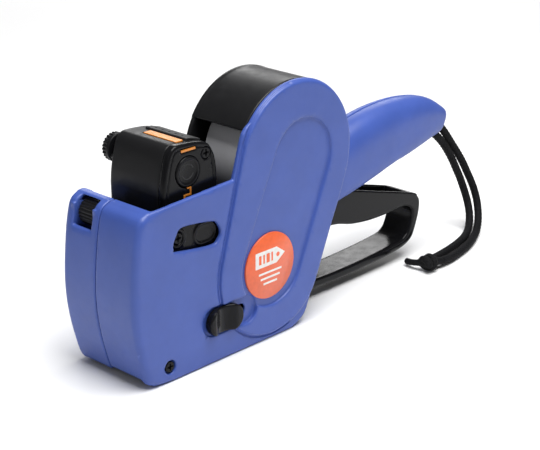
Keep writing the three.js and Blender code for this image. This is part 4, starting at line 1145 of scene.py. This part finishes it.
def build_parts():
    for make, *place in PARTS:
        finish_piece(make(), *place)
    for name, profile, axis, segments, *place in TURNED:
        finish_piece(lathe(name, profile, *axis, segments), *place)
    for name, wheel, reach, ribs, depth, bore, voxel, *place in WHEELS:
        finish_piece(ribbed(name, *wheel, *reach, ribs, depth, bore, voxel), "black", *place)
    for name, low, high, edge, voxel, outline, *place in SLABS:
        finish_piece(slab(name, low, high, edge, voxel, outline), *place)
    for node, x, z, y, sign, length, body in SCREWS:
        finish_piece(screw_piece(node + "_cross", x, z, y, sign, length), "gloss", body, node)
    for index in range(len(BANDS)):
        finish_piece(type_band(index), "rubber", "print_head", "type_band_%d" % (index + 1))
    for look, body, node, slot in PINS:
        rounded_pin(node, look, body, slot)
    finish_piece(head_button(), "gloss", "print_head", "cap_button", slot="black_gloss")
    finish_piece(head_button_marks(), "grey", "print_head", slot="black_gloss")


def build_spring():
    spring = finish_piece(return_spring(), "steel", "casing", "return_spring")
    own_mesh(spring)


def build_strands():
    knot = finish_piece(strap_knot(), "cord", "casing", "strap_knot")
    for side, route, with_pieces in (("outer", STRAND_OUTER, [knot]), ("inner", STRAND_INNER, [])):
        piece, path, length = strap_strand("strap_%s_braid" % side, route)
        finish_piece(piece, "cord", "casing", "strap_strand_" + side)


# Stage, light and camera --------------------------------------------------------------------

GUN_MIDDLE = (0.05, 0, 0.05)
# Each light: name, its two sides, power, place and the point that it looks at.
LIGHTS = [
    ("top_soft", (0.7, 0.7), 14.5, (0.05, -0.2, 0.95), GUN_MIDDLE),
    ("front_left_soft", (0.4, 0.4), 0.3, (-0.75, -0.25, 0.5), GUN_MIDDLE),
    ("side_fill", (0.7, 0.4), 0.2, (0.35, -0.95, 0.3), GUN_MIDDLE),
    ("floor_wash", (1.0, 1.0), 18, (1.25, 1.25, 0.8), (1.3, 1.3, 0)),
]
LENS = 99.5
VIEW_TURN = -46.5
VIEW_RISE = 20.9
VIEW_FROM = (-0.43524, -0.46230, 0.30001)


def build_floor():
    mesh = bpy.data.meshes.new("studio_floor")
    half = 3.0
    corners = [(-half, -half, 0), (half, -half, 0), (half, half, 0), (-half, half, 0)]
    mesh.from_pydata(corners, [], [(0, 1, 2, 3)])
    floor = link("studio_floor", mesh)
    floor.location.z = -0.0002
    paper = Shader("studio_paper", (0.93, 0.93, 0.93), 0.9)
    paper.tint(paper.noise(3, 3), (0.92, 0.92, 0.92), (0.94, 0.94, 0.94))
    mesh.materials.append(paper.material)


def area_light(name, size, power, place, aim):
    light = bpy.data.lights.new(name, "AREA")
    light.shape = "RECTANGLE"
    light.size, light.size_y = size
    light.energy = power
    lamp = bpy.data.objects.new(name, light)
    lamp.location = place
    lamp.rotation_euler = (Vector(aim) - Vector(place)).to_track_quat("-Z", "Y").to_euler()
    bpy.context.scene.collection.objects.link(lamp)


def build_light():
    world = bpy.data.worlds.new("studio")
    world.use_nodes = True
    backdrop = world.node_tree.nodes["Background"]
    backdrop.inputs["Color"].default_value = (1, 1, 1, 1)
    backdrop.inputs["Strength"].default_value = 0.15
    bpy.context.scene.world = world
    for light in LIGHTS:
        area_light(*light)


def build_view():
    # The plain display curve keeps the moulded colours as they are mixed.
    bpy.context.scene.view_settings.view_transform = "Standard"


def build_camera():
    """A long lens set where the gun was seen from, level with the horizon and looking down."""
    camera = bpy.data.cameras.new("camera")
    camera.lens = LENS
    camera.sensor_width = 36.0
    camera.clip_start = 0.01
    turn, rise = math.radians(VIEW_TURN), math.radians(VIEW_RISE)
    back = Vector((math.sin(turn) * math.cos(rise), -math.cos(turn) * math.cos(rise), math.sin(rise)))
    viewer = bpy.data.objects.new("camera", camera)
    viewer.rotation_euler = back.to_track_quat("Z", "Y").to_euler()
    viewer.location = VIEW_FROM
    bpy.context.scene.collection.objects.link(viewer)
    bpy.context.scene.camera = viewer


build_camera()
build_parts()
build_spring()
build_strands()
build_floor()
build_light()
build_view()
